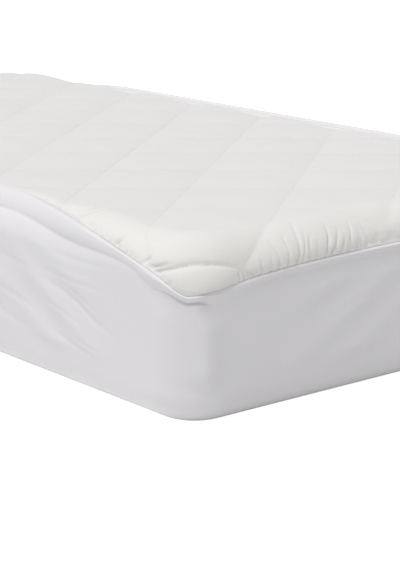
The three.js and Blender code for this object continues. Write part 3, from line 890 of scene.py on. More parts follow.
def pad_mesh(pad):
    """Points, faces and flat places of the quilted pad."""
    bed, quilt = pad.bed, pad.quilt
    cell_x = quilt.diamond_width / quilt.cells_per_diamond
    cell_y = quilt.diamond_length / quilt.cells_per_diamond
    margin = bed.flat_end * GRID_SHARE
    columns = grid_lines(quilt.crossing_from_side - HALF_WIDTH, cell_x, bed.inner_x + margin)
    rows = grid_lines(quilt.crossing_from_foot - HALF_LENGTH, cell_y, bed.inner_y + margin)
    x, y = np.meshgrid(columns, rows)
    top = pad.top_points(x, y).reshape(-1, 3)
    middles = pad.top_points(x[:-1, :-1] + cell_x / 2, y[:-1, :-1] + cell_y / 2)[..., 2].ravel()

    # Each cell of the grid is cut along the diagonal that lies nearer to the cloth
    cells = grid_faces(len(rows), len(columns), 0, False)[:, ::-1]
    heights = top[:, 2][cells]
    first_is_nearer = (np.abs((heights[:, 0] + heights[:, 2]) / 2 - middles)
                       < np.abs((heights[:, 1] + heights[:, 3]) / 2 - middles))
    chosen = np.where(first_is_nearer[:, None], cells, np.roll(cells, 1, axis=1))
    faces = [*chosen[:, [0, 1, 2]], *chosen[:, [0, 2, 3]]]

    # Rows over the shoulder to the seam, and back under the pad
    around = bed.spread(**PAD_STEPS)
    count = len(around)
    edge = bed.seam(bed.around(around)) - bed.shape.fit_gap / 2
    shares = 1 - (1 - np.linspace(0, 1, SHOULDER_ROWS)) ** SHOULDER_CROWDING
    under_shares = np.linspace(1, 0, UNDER_ROWS)
    depth, under_depth = (
        bed.flat_end + part[:, None] * (edge - bed.flat_end)[None, :] for part in (shares, under_shares))
    distance = np.broadcast_to(around, depth.shape)
    shoulder = pad.shoulder_points(distance, depth)
    under = bed.place(np.broadcast_to(around, under_depth.shape), under_depth, 0.0)
    centre = np.array([[bed.middle_x, bed.middle_y, bed.top]])
    points = np.concatenate([top, shoulder.reshape(-1, 3), under.reshape(-1, 3), centre])
    faces += list(grid_faces(len(shares) + len(under_shares), count, len(top), True))

    # The grid's edge is joined to the first row, and the last row to a point in the middle
    grid = np.arange(len(top)).reshape(len(rows), len(columns))
    grid_edge = np.concatenate([grid[0, :-1], grid[:-1, -1], grid[-1, :0:-1], grid[:0:-1, 0]])
    first_row = len(top) + np.arange(count)
    nearest = int(np.argmin(np.linalg.norm(points[first_row] - points[grid_edge[0]], axis=1)))
    faces += zip_rings(points, list(grid_edge), list(np.roll(first_row, -nearest)))
    middle = len(points) - 1
    last_row = middle - count + np.arange(count)
    faces += [(middle, b, a) for a, b in zip(last_row, np.roll(last_row, -1))]

    flat_shoulder = np.stack(eased_place(bed, distance, depth), axis=-1).reshape(-1, 2)
    flat_under = under[..., :2].reshape(-1, 2)
    flat = np.concatenate([top[:, :2], flat_shoulder, flat_under, centre[:, :2]])
    return points, faces, flat


# Steps of the skirt's mesh round the bed, as for the pad
SKIRT_STEPS = dict(fine=4 * MM, coarse=8.5 * MM, reach=440 * MM)


class Skirt:
    """Shape of the knit skirt, from its seam down the wall and under the mattress."""

    # Rows of points down the roll, the wall, the lower edge and the tuck, and the power by which the
    # roll's rows crowd towards the seam
    ROLL_ROWS = 20
    WALL_ROWS = 64
    BASE_ROWS = 8
    TUCK_ROWS = 3
    ROLL_CROWDING = 1.25
    # Inside the roll and inside the wall, one row in so many is kept
    INSIDE_ROLL_STEP = 3
    INSIDE_STEP = 5

    # How far from the roll and from the lower edge the folds are whole, and how far the knit stands
    # off by slack: none up to half of SLACK_REACH from a corner, and all of it one more on
    FOLD_FADE = 30 * MM
    SLACK = 1.6 * MM
    SLACK_REACH = 150 * MM

    # How far under the roll the swell at a corner is whole, beside a lip and under one, and how far
    # over the lower edge it starts to fade
    SWELL_START = 45 * MM
    LIP_START = 7 * MM
    SWELL_END = 40 * MM

    def __init__(self, bed, skirt):
        self.bed = bed
        self.skirt = skirt
        self.creases = skirt_creases(bed)
        self.around = bed.spread(**SKIRT_STEPS)

    def outside(self):
        """Depth of the knit's outside in each row, and how far it stands off the bed."""
        bed, skirt = self.bed, self.skirt
        at = bed.around(self.around)
        seam = bed.seam(at) + bed.shape.fit_gap / 2
        sizes = roll_sizes(skirt, at)
        roll_end = seam + sizes.height
        roll = np.linspace(0, 1, self.ROLL_ROWS) ** self.ROLL_CROWDING
        wall = np.linspace(0, 1, self.WALL_ROWS, endpoint=False)[1:]
        base = np.linspace(0, 1, self.BASE_ROWS)
        tuck = np.linspace(0, 1, self.TUCK_ROWS + 1)[1:]
        level = [
            *(bed.base_start + base * (bed.base_end - bed.base_start)),
            *(bed.base_end + tuck * (skirt.tuck - bed.base)),
        ]
        depth = np.array([
            *(seam + sizes.height * part + sizes.hang * math.sin(math.pi * part) * part for part in roll),
            *(roll_end + part * (bed.base_start - roll_end) for part in wall),
            *(np.full(seam.shape, row) for row in level),
        ])
        rise = np.zeros(depth.shape)
        rise[:self.ROLL_ROWS] = [sizes.proud * roll_section(skirt, at, part) for part in roll]
        return depth, rise + self.folds(at, depth, roll_end) + skirt.thickness

    def folds(self, at, depth, roll_end):
        """How far the folds of the wall stand off, with the creases cut into them."""
        bed = self.bed
        above = bed.base_start - depth
        clear = np.clip(np.minimum(above, depth - roll_end) / self.FOLD_FADE, 0, 1)
        swell = np.zeros(depth.shape)
        for fold in DRAG_FOLDS:
            away = at.from_corner - fold.away * MM
            off = above + bed.base - fold.above * MM - away * fold.climb
            swell += fold.proud * MM * np.exp(
                -(off / (fold.broad * MM)) ** 2 - (2 * away / (fold.length * MM)) ** 2)
        distance = np.broadcast_to(self.around, depth.shape)
        slack = self.SLACK * np.clip(at.from_corner / self.SLACK_REACH - 0.5, 0, 1)
        creased = swell + slack - crease_depth(bed, distance, depth, self.creases)
        under = np.maximum(depth - roll_end, 0)
        return clear * np.maximum(creased, 0) + self.corner_swell(at, under, above)

    def corner_swell(self, at, under, above):
        """How far the knit stands off where it is pulled straight down at a corner, at once under
        the lip and more slowly beside it."""
        skirt = self.skirt
        walk = walk_round(at)
        swell = skirt.corner_swell * hill(walk, skirt.swell_middle, skirt.swell_reach)
        reach = np.where(walk > skirt.lip_hold, skirt.shelf_reach / 2, skirt.shelf_reach)
        shelf = skirt.lip_shelf * hill(walk, skirt.lip_hold, reach) * hill(under, 0, skirt.shelf_height)
        close = roll_sizes(skirt, at).lip ** 2
        start = smooth(under / self.SWELL_START)
        start = start + (rounded(under / self.LIP_START) - start) * close
        return (swell + shelf) * start * smooth(above / self.SWELL_END)

    def inside(self, depth, rise):
        """The same for the knit's inside: its outside moved in by its thickness, in fewer rows."""
        step_down, step_out = np.gradient(depth, axis=0), np.gradient(rise, axis=0)
        size = np.hypot(step_down, step_out)
        thickness = self.skirt.thickness
        inner_depth = depth + thickness * step_out / size
        inner_rise = np.maximum(rise - thickness * step_down / size, 0)
        inner_depth[0] = depth[0]
        # Every few rows of the roll and of the wall, and all of the last ones
        kept = [*range(0, self.ROLL_ROWS, self.INSIDE_ROLL_STEP)]
        kept += range(self.ROLL_ROWS + 2, len(depth) - self.INSIDE_STEP + 1, self.INSIDE_STEP)
        kept += range(kept[-1] + 2, len(depth))
        return inner_depth[kept], inner_rise[kept]


def skirt_mesh(skirt):
    """Points, faces and flat places of the skirt: outside rows down, then inside rows back up."""
    bed = skirt.bed
    count = len(skirt.around)
    outside = skirt.outside()
    inside = [rows[::-1] for rows in skirt.inside(*outside)]
    parts, flats = [], []
    for depth, rise in (outside, inside):
        distance = np.broadcast_to(skirt.around, depth.shape)
        parts.append(bed.place(distance, depth, rise))
        flats.append(np.stack([distance, depth], axis=-1))
    points = np.concatenate(parts)
    rows = len(points)
    faces = list(grid_faces(rows, count, 0, True))
    last = (rows - 1) * count
    ring = np.arange(count)
    beside = np.roll(ring, -1)
    faces += list(np.stack([last + ring, ring, beside, last + beside], axis=-1))
    return points.reshape(-1, 3), faces, np.concatenate(flats).reshape(-1, 2)


# Stitches

# Rings of points along a stitch and points round each ring
STITCH_RINGS, STITCH_SIDES = 5, 4

# How much of its girth's square a stitch loses at its ends, how far its middle lies over the cloth
# as a share of its width, and by how many times that its ends drop
STITCH_TAPER, STITCH_LIFT, STITCH_DROP = 0.92, 0.35, 2.2


def stitch_points(starts, directions, ups, size, width):
    """Points and faces of a row of stitches, each a short thread that dips in at both ends."""
    sides = np.cross(ups, directions)
    points, shape, faces = [], [], []
    for step in np.linspace(-0.5, 0.5, STITCH_RINGS):
        to_end = (2 * step) ** 2
        girth = width / 2 * math.sqrt(max(1 - to_end * STITCH_TAPER, 0))
        lift = width * STITCH_LIFT * (1 - to_end * STITCH_DROP)
        middle = starts + directions * (step * size) + ups * lift
        for turn in range(STITCH_SIDES):
            angle = math.pi / 4 + turn * math.pi / 2
            points.append(middle + sides * (girth * math.cos(angle)) + ups * (girth * math.sin(angle)))
    points = np.stack(points, axis=1)
    count, each = points.shape[:2]
    for ring in range(0, each - STITCH_SIDES, STITCH_SIDES):
        for turn in range(STITCH_SIDES):
            here, beside = ring + turn, ring + (turn + 1) % STITCH_SIDES
            shape.append((here, beside, beside + STITCH_SIDES, here + STITCH_SIDES))
    cap = tuple(range(STITCH_SIDES))
    shape += [cap[::-1], tuple(each - STITCH_SIDES + corner for corner in cap)]
    for number in range(count):
        faces += [tuple(number * each + corner for corner in face) for face in shape]
    return points.reshape(-1, 3), faces


def evenly(points, pitch):
    """Places at an even pitch along a line of points, and the line's direction at each."""
    steps = np.linalg.norm(np.diff(points, axis=0), axis=1)
    travelled = np.concatenate([[0], np.cumsum(steps)])
    wanted = np.arange(pitch / 2, travelled[-1], pitch)
    places, ahead, behind = (
        np.stack([np.interp(wanted + shift, travelled, points[:, axis]) for axis in range(3)], axis=-1)
        for shift in (0, pitch / 3, -pitch / 3))
    direction = ahead - behind
    return places, direction / np.linalg.norm(direction, axis=1, keepdims=True)


class LineTracer:
    """Follows the quilting lines over the pad from seam to seam."""

    # Length of a step along a line, of one along the seam while looking for lines, and of the probe
    # for how the count of lines changes
    STEP = 3 * MM
    SEAM_STEP = 1 * MM
    PROBE = 0.3 * MM
    # How far over the seam a line starts and an arc stays, and how far over it a line may end
    START_MARGIN = 1.5 * MM
    END_MARGIN = 1.0 * MM
    # A line may end at the seam again once it has more places than the first of these, and none
    # needs more than the second
    LEAST_PLACES = 8
    MOST_PLACES = 200
    # How far round its corner an arc is looked for
    ARC_REACH = 200 * MM

    def __init__(self, pad, is_falling):
        self.pad = pad
        # Which of the two counts of lines this family goes by
        self.family = int(is_falling)

    def count(self, distance, depth):
        return line_counts(self.pad.bed, self.pad.quilt, distance, depth)[self.family]

    def slope(self, distance, depth):
        """Count of lines at a place, and how fast it changes round the edge and down it."""
        here = float(self.count(distance, depth))
        sideways = (float(self.count(distance + self.PROBE, depth)) - here) / self.PROBE
        down = (float(self.count(distance, depth + self.PROBE)) - here) / self.PROBE
        return here, sideways, down

    def ends(self):
        """Where each line reaches the seam, and its number."""
        bed = self.pad.bed
        around = np.arange(0, bed.outline, self.SEAM_STEP)
        depth = bed.seam(bed.around(around)) - self.START_MARGIN
        count = self.count(around, depth)
        ahead = np.roll(count, -1)
        crossed = np.nonzero((np.floor(count) != np.floor(ahead)) & (np.abs(ahead - count) < 0.5))[0]
        number = np.maximum(np.floor(count), np.floor(ahead))[crossed]
        part = (number - count[crossed]) / (ahead - count)[crossed]
        place = around[crossed] + part * self.SEAM_STEP
        kept = nearest_lines((number, number))[self.family] == number
        return place[kept], depth[crossed][kept], number[kept]

    def arcs(self):
        """Point rows of the corners' arcs that belong to this family of lines."""
        bed = self.pad.bed
        rows = []
        for corner, arc in CORNER_ARCS.items():
            is_falling = corner % 2 == 0
            if self.family != int(is_falling):
                continue
            walk = np.arange(-self.ARC_REACH, self.ARC_REACH, self.STEP)
            depth = arc_depth(arc, walk)
            distance = bed.from_corner_walk(corner, walk)
            held = depth < bed.seam(bed.around(distance)) - self.START_MARGIN
            rows.append(self.pad.shoulder_points(distance[held], depth[held]))
        return rows

    def trace(self, distance, depth, number):
        """Places along a line from the seam inward, until the flat top or the seam again, and
        whether it ended at the seam."""
        bed = self.pad.bed
        places = [(distance, depth)]
        heading = (0.0, -1.0)
        for _ in range(self.MOST_PLACES):
            sideways, down = self.slope(distance, depth)[1:]
            size = math.hypot(sideways, down)
            ahead = (-down / size, sideways / size)
            if ahead[0] * heading[0] + ahead[1] * heading[1] < 0:
                ahead = (-ahead[0], -ahead[1])
            heading = ahead
            distance += ahead[0] * self.STEP
            depth += ahead[1] * self.STEP
            here, sideways, down = self.slope(distance, depth)
            size = sideways ** 2 + down ** 2
            distance -= (here - number) * sideways / size
            depth -= (here - number) * down / size
            if depth < bed.flat_end:
                places.append((distance, bed.flat_end))
                return places, False
            seam = float(bed.seam(bed.around(distance)))
            if depth > seam - self.END_MARGIN and len(places) > self.LEAST_PLACES:
                return places, True
            places.append((distance, depth))
        return places, False

    def lines(self):
        """Point rows of whole lines on the pad's surface."""
        pad, bed = self.pad, self.pad.bed
        open_ends, lines = {}, self.arcs()
        for distance, depth, number in zip(*self.ends()):
            places, is_whole = self.trace(float(distance), float(depth), float(number))
            around, down = (np.array(values) for values in zip(*places))
            points = pad.shoulder_points(around, down)
            if is_whole:
                if places[0][0] < places[-1][0]:
                    lines.append(points)
                continue
            open_ends.setdefault(int(number), []).append(points)
        for ends in open_ends.values():
            if len(ends) != 2:
                continue
            start, end = ends[0][-1], ends[1][-1]
            steps = max(int(np.linalg.norm(end - start) / self.STEP), 2)
            parts = np.linspace(0, 1, steps)[1:-1]
            x = start[0] + parts * (end[0] - start[0]) - bed.middle_x
            y = start[1] + parts * (end[1] - start[1]) - bed.middle_y
            lines.append(np.concatenate([ends[0], pad.top_points(x, y), ends[1][::-1]]))
        return lines


def surface_ups(bed, points):
    """Which way the bed's surface faces at points near it."""
    ups = points - np.array([bed.middle_x, bed.middle_y, bed.top - bed.shoulder])
    for axis, half in ((0, bed.inner_x), (1, bed.inner_y)):
        ups[:, axis] -= np.clip(ups[:, axis], -half - bed.flat_end, half + bed.flat_end)
    ups[:, 2] = np.maximum(ups[:, 2], 0)
    return ups / np.maximum(np.linalg.norm(ups, axis=1, keepdims=True), TINY)


# Shader nodes

NUMBER, COLOR, PLACE = "NodeSocketFloat", "NodeSocketColor", "NodeSocketVector"
WHITE = (1, 1, 1, 1)


def put(tree, socket, value):
    """Links a value to a socket, or sets it there."""
    if isinstance(value, bpy.types.NodeSocket):
        tree.links.new(value, socket)
    else:
        socket.default_value = value


def math_node(tree, operation, *values):
    node = tree.nodes.new("ShaderNodeMath")
    node.operation = operation
    for socket, value in zip(node.inputs, values):
        put(tree, socket, value)
    return node.outputs[0]


def between_0_and_1(tree, value):
    return math_node(tree, "MINIMUM", math_node(tree, "MAXIMUM", value, 0.0), 1.0)


def noise_node(tree, place, scale, detail, roughness=0.5):
    node = tree.nodes.new("ShaderNodeTexNoise")
    values = {"Vector": place, "Scale": scale, "Detail": detail, "Roughness": roughness}
    for label, value in values.items():
        put(tree, node.inputs[label], value)
    return node.outputs["Fac"]


def parts_of(tree, place):
    """The X, Y and Z outputs of a place."""
    split = tree.nodes.new("ShaderNodeSeparateXYZ")
    tree.links.new(place, split.inputs[0])
    return split.outputs


def place_from(tree, x, y):
    place = tree.nodes.new("ShaderNodeCombineXYZ")
    tree.links.new(x, place.inputs["X"])
    tree.links.new(y, place.inputs["Y"])
    return place.outputs[0]


def new_group(name, inputs, output):
    """An empty node group with a place and other inputs and one output, the outputs of its first
    node and the input of its last."""
    group = bpy.data.node_groups.new(name, "ShaderNodeTree")
    group.interface.new_socket("Place", in_out="INPUT", socket_type=PLACE)
    for label, kind, value in inputs:
        socket = group.interface.new_socket(label, in_out="INPUT", socket_type=kind)
        socket.default_value = value
    group.interface.new_socket(output[0], in_out="OUTPUT", socket_type=output[1])
    start = group.nodes.new("NodeGroupInput")
    end = group.nodes.new("NodeGroupOutput")
    return group, start.outputs, end.inputs[0]


def woven_threads_group():
    """Plain weave from places on the flat cloth in metres: threads over and under each other."""
    group, given, height = new_group(
        "woven_threads", [("Threads per metre", NUMBER, 900.0)], ("Height", NUMBER))
    parts = parts_of(group, given["Place"])
    waves = []
    for axis in ("X", "Y"):
        turns = math_node(group, "MULTIPLY", parts[axis], given["Threads per metre"])
        waves.append(math_node(group, "SINE", math_node(group, "MULTIPLY", turns, math.pi)))
    over = math_node(group, "MULTIPLY", *waves)
    group.links.new(math_node(group, "ABSOLUTE", over), height)
    return group


def soft_crumple_group():
    """Soft uneven surface of laid cloth, from places in metres."""
    group, given, height = new_group(
        "soft_crumple", [("Bumps per metre", NUMBER, 20.0)], ("Height", NUMBER))
    lumps = noise_node(group, given["Place"], given["Bumps per metre"], detail=2.5, roughness=0.45)
    group.links.new(lumps, height)
    return group


# Puckers across a quilting line: how many there are to a diamond's side along the line, and how soon
# they change across it
PUCKERS_PER_DIAMOND, PUCKER_CHANGE = 26.0, 3.0


def line_puckers_group(quilt):
    """Small puckers across the quilting lines, from places on the flat cloth in metres."""
    group, given, height = new_group("line_puckers", [("Reach", NUMBER, 0.012)], ("Height", NUMBER))
    parts = parts_of(group, given["Place"])
    first_across, first_along = quilt_place(quilt, 0.0, 0.0)
    across = math_node(group, "MULTIPLY_ADD", parts["X"], 1 / quilt.diamond_width, first_across)
    along = math_node(group, "MULTIPLY_ADD", parts["Y"], 1 / quilt.diamond_length, first_along)
    rising = math_node(group, "SUBTRACT", along, across)
    falling = math_node(group, "ADD", along, across)
    rows = []
    for count, run in ((rising, falling), (falling, rising)):
        nearest = math_node(group, "ROUND", count)
        off = math_node(group, "ABSOLUTE", math_node(group, "SUBTRACT", count, nearest))
        off = math_node(group, "MULTIPLY", off, line_spacing(quilt))
        away = math_node(group, "DIVIDE", off, given["Reach"])
        near = math_node(group, "EXPONENT", math_node(group, "MULTIPLY", away, -1.0))
        place = place_from(
            group,
            math_node(group, "MULTIPLY", run, PUCKERS_PER_DIAMOND),
            math_node(group, "MULTIPLY", count, PUCKER_CHANGE),
        )
        ripples = noise_node(group, place, scale=1.0, detail=1.0)
        rows.append(math_node(group, "MULTIPLY", ripples, near))
    group.links.new(math_node(group, "ADD", *rows), height)
    return group


def tone_drift_group():
    """A colour that drifts a little from place to place, as undyed cloth does."""
    inputs = [
        ("Color", COLOR, (0.8, 0.8, 0.8, 1)),
        ("Amount", NUMBER, 0.02),
        ("Patches per metre", NUMBER, 6.0),
    ]
    group, given, drifted = new_group("tone_drift", inputs, ("Color", COLOR))
    patches = noise_node(group, given["Place"], given["Patches per metre"], detail=3.0)
    centred = math_node(group, "SUBTRACT", patches, 0.5)
    value = math_node(group, "MULTIPLY_ADD", centred, given["Amount"], 1.0)
    tint = group.nodes.new("ShaderNodeHueSaturation")
    group.links.new(given["Color"], tint.inputs["Color"])
    group.links.new(value, tint.inputs["Value"])
    group.links.new(tint.outputs["Color"], drifted)
    return group


class Finish:
    """A material on one Principled shader, with its heights gathered into one bump. Effects that
    several finishes share are node groups, made on first use."""

    def __init__(self, name, roughness, sheen, sheen_roughness=0.5, specular=0.3):
        self.material = bpy.data.materials.new(name)
        self.material.use_nodes = True
        self.tree = self.material.node_tree
        self.shader = self.tree.nodes["Principled BSDF"]
        self.shader.inputs["Roughness"].default_value = roughness
        self.shader.inputs["Sheen Weight"].default_value = sheen
        self.shader.inputs["Sheen Roughness"].default_value = sheen_roughness
        self.shader.inputs["Specular IOR Level"].default_value = specular
        self.place = self.tree.nodes.new("ShaderNodeTexCoord").outputs["Object"]
        self.height = None

    def flat_place(self):
        """Place on the flat cloth."""
        node = self.tree.nodes.new("ShaderNodeUVMap")
        node.uv_map = "cloth"
        return node.outputs["UV"]

    def use(self, name, make, values):
        """Output of the shared node group of that name, with its inputs linked or set."""
        node = self.tree.nodes.new("ShaderNodeGroup")
        node.node_tree = bpy.data.node_groups.get(name) or make()
        for label, value in values.items():
            put(self.tree, node.inputs[label], value)
        return node.outputs[0]

    def color(self, color, amount, patches):
        """Gives the finish a colour that drifts by an amount in so many patches per metre."""
        values = {"Place": self.place, "Color": (*color, 1)}
        values.update({"Amount": amount, "Patches per metre": patches})
        drifted = self.use("tone_drift", tone_drift_group, values)
        self.tree.links.new(drifted, self.shader.inputs["Base Color"])

    def raise_by(self, value, metres):
        """Adds a height between 0 and 1, as so many metres."""
        part = math_node(self.tree, "MULTIPLY", value, metres / MM)
        self.height = part if self.height is None else math_node(self.tree, "ADD", self.height, part)

    def crumple(self, bumps, metres):
        values = {"Place": self.place, "Bumps per metre": bumps}
        self.raise_by(self.use("soft_crumple", soft_crumple_group, values), metres)

    def weave(self, place, threads, metres):
        values = {"Place": place, "Threads per metre": threads}
        self.raise_by(self.use("woven_threads", woven_threads_group, values), metres)

    def pucker(self, place, quilt, reach, metres):
        values = {"Place": place, "Reach": reach}
        self.raise_by(self.use("line_puckers", lambda: line_puckers_group(quilt), values), metres)

    def finish(self):
        if self.height is not None:
            bump = self.tree.nodes.new("ShaderNodeBump")
            bump.inputs["Distance"].default_value = MM
            bump.inputs["Strength"].default_value = 1.0
            self.tree.links.new(self.height, bump.inputs["Height"])
            self.tree.links.new(bump.outputs["Normal"], self.shader.inputs["Normal"])
        return self.material


def pad_cloth(color, quilt):
    """Brushed warm white cloth: fine weave, soft crumples, puckers at the lines, a little sheen."""
    finish = Finish("pad_cloth", roughness=0.9, sheen=0.6, sheen_roughness=0.45, specular=0.25)
    finish.color(color, amount=0.035, patches=7.0)
    finish.crumple(bumps=26.0, metres=0.55 * MM)
    finish.crumple(bumps=90.0, metres=0.16 * MM)
    flat = finish.flat_place()
    finish.weave(flat, threads=1100.0, metres=0.03 * MM)
    finish.pucker(flat, quilt, reach=12 * MM, metres=0.9 * MM)
    return finish.finish()


# Upright wales and level courses of the knit to a metre, and half the share of its height that a
# loop loses between two courses
WALES, COURSES, COURSE_DIP = 800, 1000, 0.3

# Ribs of the knit to a metre, and how often they change along their length
RIBS, RIB_CHANGES = 260.0, 4.0


def skirt_knit(color):
    """Cool white stretch knit: upright wales, faint uneven ribs and soft crumples."""
    finish = Finish("skirt_knit", roughness=0.75, sheen=0.15)
    tree = finish.tree
    finish.color(color, amount=0.03, patches=5.0)
    parts = parts_of(tree, finish.flat_place())
    wales, courses = (
        math_node(tree, "SINE", math_node(tree, "MULTIPLY", parts[axis], 2 * math.pi * number))
        for axis, number in (("X", WALES), ("Y", COURSES)))
    courses = math_node(tree, "MULTIPLY_ADD", courses, COURSE_DIP, 1 - COURSE_DIP)
    loops = math_node(tree, "MULTIPLY", wales, courses)
    finish.raise_by(math_node(tree, "MULTIPLY_ADD", loops, 0.5, 0.5), 0.035 * MM)
    stretched = place_from(
        tree,
        math_node(tree, "MULTIPLY", parts["X"], RIBS),
        math_node(tree, "MULTIPLY", parts["Y"], RIB_CHANGES),
    )
    finish.raise_by(noise_node(tree, stretched, scale=1.0, detail=2.0), 0.12 * MM)
    finish.crumple(bumps=14.0, metres=0.5 * MM)
    return finish.finish()


def sewing_thread(color):
    """White twisted thread."""
    finish = Finish("sewing_thread", roughness=0.55, sheen=0.1)
    finish.color(color, amount=0.05, patches=300.0)
    finish.crumple(bumps=1500.0, metres=0.02 * MM)
    return finish.finish()


def ticking_cloth(color):
    """Plain off-white mattress ticking, woven tightly."""
    finish = Finish("ticking_cloth", roughness=0.85, sheen=0.1)
    finish.color(color, amount=0.06, patches=9.0)
    finish.crumple(bumps=40.0, metres=0.4 * MM)
    finish.weave(finish.place, threads=700.0, metres=0.08 * MM)
    return finish.finish()


# How far in under a long side its glow still reaches, and how far before an end it gives way to the
# end's glow
SIDE_BLEND, END_BLEND = 60 * MM, 110 * MM


def floor_paint(color, studio):
    """Plain pale floor that looks white, as a lit floor does, and throws light up only close to the
    bed, so that the bed's lower edge stays as pale as on a white sweep."""
    finish = Finish("floor_paint", roughness=0.8, sheen=0.0)
    tree = finish.tree
    finish.shader.inputs["Emission Color"].default_value = WHITE
    seen = tree.nodes.new("ShaderNodeLightPath").outputs["Is Camera Ray"]
    parts = parts_of(tree, finish.place)
    offs = [
        math_node(tree, "SUBTRACT", math_node(tree, "ABSOLUTE", parts[axis]), half)
        for axis, half in (("X", BED_HIGH.x), ("Y", BED_HIGH.y))
    ]
    squares = [math_node(tree, "POWER", math_node(tree, "MAXIMUM", off, 0.0), 2.0) for off in offs]
    away = math_node(tree, "ADD", *squares)
    near = math_node(tree, "EXPONENT", math_node(tree, "MULTIPLY", away, -1 / studio.glow_reach ** 2))
    beside, ahead = (
        between_0_and_1(tree, math_node(tree, "MULTIPLY_ADD", off, 1 / blend, 1.0))
        for off, blend in zip(offs, (SIDE_BLEND, END_BLEND)))
    beside = math_node(tree, "MULTIPLY", beside, math_node(tree, "SUBTRACT", 1.0, ahead))
    glow = math_node(
        tree, "MULTIPLY_ADD", beside, studio.side_glow - studio.end_glow, studio.end_glow)
    white = math_node(tree, "MULTIPLY", seen, studio.floor_white)
    lit = math_node(tree, "MULTIPLY_ADD", near, glow, white)
    tree.links.new(lit, finish.shader.inputs["Emission Strength"])
    finish.color(color, amount=0.01, patches=1.5)
    return finish.finish()


# Operators

# Width of the camera's sensor in millimetres, and how far the camera sees in metres
SENSOR_WIDTH, CAMERA_SIGHT = 36, 100

# How far the floor reaches, and how high it lies: just under the bed
FLOOR_REACH, FLOOR_HEIGHT = 30.0, -1.0 * MM

# Way to the soft sun, its width in degrees, and the power by which the pale walls fade upward
KEY_DIRECTION, KEY_WIDTH = (-0.3, 0.0, 1), 40
WALL_FADE = 2.0


def scene_pad(scene):
    """The pad by the scene's settings."""
    return Pad(Bed(scene.protector_shape), scene.protector_quilt, scene.protector_skirt)


class PROTECTOR_OT_camera(bpy.types.Operator):
    """Place the camera at the shown corner"""

    bl_idname = "protector.camera"
    bl_label = "Place camera"

    def execute(self, context):
        studio = context.scene.protector_studio
        azimuth, elevation = math.radians(studio.azimuth), math.radians(studio.elevation)
        back = Vector((
            math.sin(azimuth) * math.cos(elevation), -math.cos(azimuth) * math.cos(elevation),
            math.sin(elevation)))
        right = Vector((math.cos(azimuth), math.sin(azimuth), 0))
        up = back.cross(right)
        target = Vector((BED_LOW.x, BED_LOW.y, 0)) + right * studio.aim_right + up * studio.aim_up
        lens = bpy.data.cameras.new("camera")
        lens.sensor_width = SENSOR_WIDTH
        lens.lens = studio.focal_length
        lens.clip_end = CAMERA_SIGHT
        camera = bpy.data.objects.new("camera", lens)
        rotation = Matrix((right, up, back)).transposed().to_4x4()
        camera.matrix_world = Matrix.Translation(target + back * studio.distance) @ rotation
        context.scene.collection.objects.link(camera)
        context.scene.camera = camera
        return {"FINISHED"}


class PROTECTOR_OT_pad(bpy.types.Operator):
    """Make the quilted pad with its puffs, channels and gathers"""

    bl_idname = "protector.pad"
    bl_label = "Make quilted pad"

    def execute(self, context):
        scene = context.scene
        points, faces, flat = pad_mesh(scene_pad(scene))
        cloth = pad_cloth(scene.protector_finishes.pad, scene.protector_quilt)
        piece = make_piece("pad", points, faces, cloth, flat)
        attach(piece, "root")
        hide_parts("quilted_pad")
        return {"FINISHED"}


class PROTECTOR_OT_skirt(bpy.types.Operator):
    """Make the stretch knit skirt with its roll, lips, creases and tucked hem"""

    bl_idname = "protector.skirt"
    bl_label = "Make skirt"

    def execute(self, context):
        scene = context.scene
        bed = Bed(scene.protector_shape)
        skirt = Skirt(bed, scene.protector_skirt)
        points, faces, flat = skirt_mesh(skirt)
        knit = skirt_knit(scene.protector_finishes.skirt)
        piece = make_piece("skirt_cloth", points, faces, knit, flat, bed.outline)
        seam = bed.seam(bed.around(skirt.around))
        widths = np.diff(np.append(skirt.around, bed.outline))
        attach(piece, "root")
        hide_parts("skirt")
        return {"FINISHED"}


class PROTECTOR_OT_stitches(bpy.types.Operator):
    """Sew the quilting lines"""

    bl_idname = "protector.stitches"
    bl_label = "Sew quilting lines"

    def execute(self, context):
        scene = context.scene
        pad = scene_pad(scene)
        points, faces = [], []
        for is_falling in (False, True):
            for line in LineTracer(pad, is_falling).lines():
                places, directions = evenly(line, pad.quilt.stitch_pitch)
                ups = surface_ups(pad.bed, places)
                row, row_faces = stitch_points(
                    places, directions, ups, pad.quilt.stitch_length, pad.quilt.thread_width)
                first = sum(len(part) for part in points)
                points.append(row)
                faces += [tuple(first + corner for corner in face) for face in row_faces]
        if not faces:
            raise RuntimeError("no quilting line was found on the pad")
        thread = sewing_thread(scene.protector_finishes.thread)
        piece = make_piece("quilting_stitches", np.concatenate(points), faces, thread)
        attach(piece, "root")
        return {"FINISHED"}


class PROTECTOR_OT_ticking(bpy.types.Operator):
    """Give the mattress its ticking"""

    bl_idname = "protector.ticking"
    bl_label = "Finish mattress"

    def execute(self, context):
        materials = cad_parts["mattress"].data.materials
        materials.clear()
        materials.append(ticking_cloth(context.scene.protector_finishes.ticking))
        return {"FINISHED"}


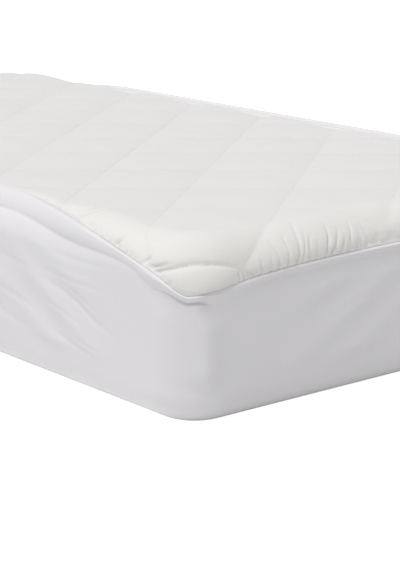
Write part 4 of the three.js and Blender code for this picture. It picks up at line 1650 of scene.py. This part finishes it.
class PROTECTOR_OT_studio(bpy.types.Operator):
    """Lay the pale floor and set the soft light"""

    bl_idname = "protector.studio"
    bl_label = "Set studio"

    def execute(self, context):
        scene = context.scene
        studio = scene.protector_studio
        ways = ((-1, -1), (1, -1), (1, 1), (-1, 1))
        corners = np.array([(FLOOR_REACH * x, FLOOR_REACH * y, FLOOR_HEIGHT) for x, y in ways])
        paint = floor_paint(scene.protector_finishes.floor, studio)
        floor = make_piece("floor", corners, [(0, 1, 2, 3)], paint)
        scene.world = bpy.data.worlds.new("studio")
        scene.world.use_nodes = True
        tree = scene.world.node_tree
        background = tree.nodes["Background"]
        background.inputs["Color"].default_value = WHITE
        parts = parts_of(tree, tree.nodes.new("ShaderNodeTexCoord").outputs["Generated"])

        # Even light from above, and stronger light low down as from pale walls, most from the left
        low = math_node(tree, "SUBTRACT", 1.0, math_node(tree, "MAXIMUM", parts["Z"], 0.0))
        side = math_node(tree, "MULTIPLY_ADD", parts["X"], -studio.left_wall, 1.0)
        side = math_node(tree, "MULTIPLY_ADD", parts["Y"], studio.back_wall, side)
        side = math_node(tree, "MAXIMUM", side, 0.0)
        walls = math_node(tree, "MULTIPLY", math_node(tree, "POWER", low, WALL_FADE), side)
        strength = math_node(tree, "MULTIPLY_ADD", walls, studio.walls, studio.sky)
        tree.links.new(strength, background.inputs["Strength"])

        light = bpy.data.lights.new("key", "SUN")
        light.energy = studio.key
        light.angle = math.radians(KEY_WIDTH)
        key = bpy.data.objects.new("key", light)
        towards = Vector(KEY_DIRECTION).normalized()
        key.rotation_euler = towards.to_track_quat("Z", "Y").to_euler()
        scene.collection.objects.link(key)
        scene.view_settings.view_transform = "Standard"
        scene.view_settings.look = "None"
        return {"FINISHED"}


OPERATORS = [
    PROTECTOR_OT_camera, PROTECTOR_OT_pad, PROTECTOR_OT_skirt, PROTECTOR_OT_stitches,
    PROTECTOR_OT_ticking, PROTECTOR_OT_studio,
]

SETTINGS = {
    "protector_shape": BedShape,
    "protector_quilt": QuiltSizes,
    "protector_skirt": SkirtSizes,
    "protector_finishes": Finishes,
    "protector_studio": StudioSettings,
}


class PROTECTOR_PT_panel(bpy.types.Panel):
    """Steps that build the protector"""

    bl_idname = "PROTECTOR_PT_panel"
    bl_label = "Mattress protector"
    bl_space_type = "VIEW_3D"
    bl_region_type = "UI"
    bl_category = "Protector"

    def draw(self, context):
        for settings, group in SETTINGS.items():
            box = self.layout.box()
            box.label(text=group.__doc__)
            for name in group.__annotations__:
                box.prop(getattr(context.scene, settings), name)
        for operator in OPERATORS:
            self.layout.operator(operator.bl_idname)


def register():
    for group in [*SETTINGS.values(), *OPERATORS, PROTECTOR_PT_panel]:
        bpy.utils.register_class(group)
    for name, group in SETTINGS.items():
        setattr(bpy.types.Scene, name, PointerProperty(type=group))


def unregister():
    for name in SETTINGS:
        delattr(bpy.types.Scene, name)
    for group in reversed([*SETTINGS.values(), *OPERATORS, PROTECTOR_PT_panel]):
        bpy.utils.unregister_class(group)


def main():
    register()
    bpy.ops.protector.camera()
    bpy.ops.protector.pad()
    bpy.ops.protector.skirt()
    bpy.ops.protector.stitches()
    bpy.ops.protector.ticking()
    bpy.ops.protector.studio()


if __name__ == "__main__":
    main()
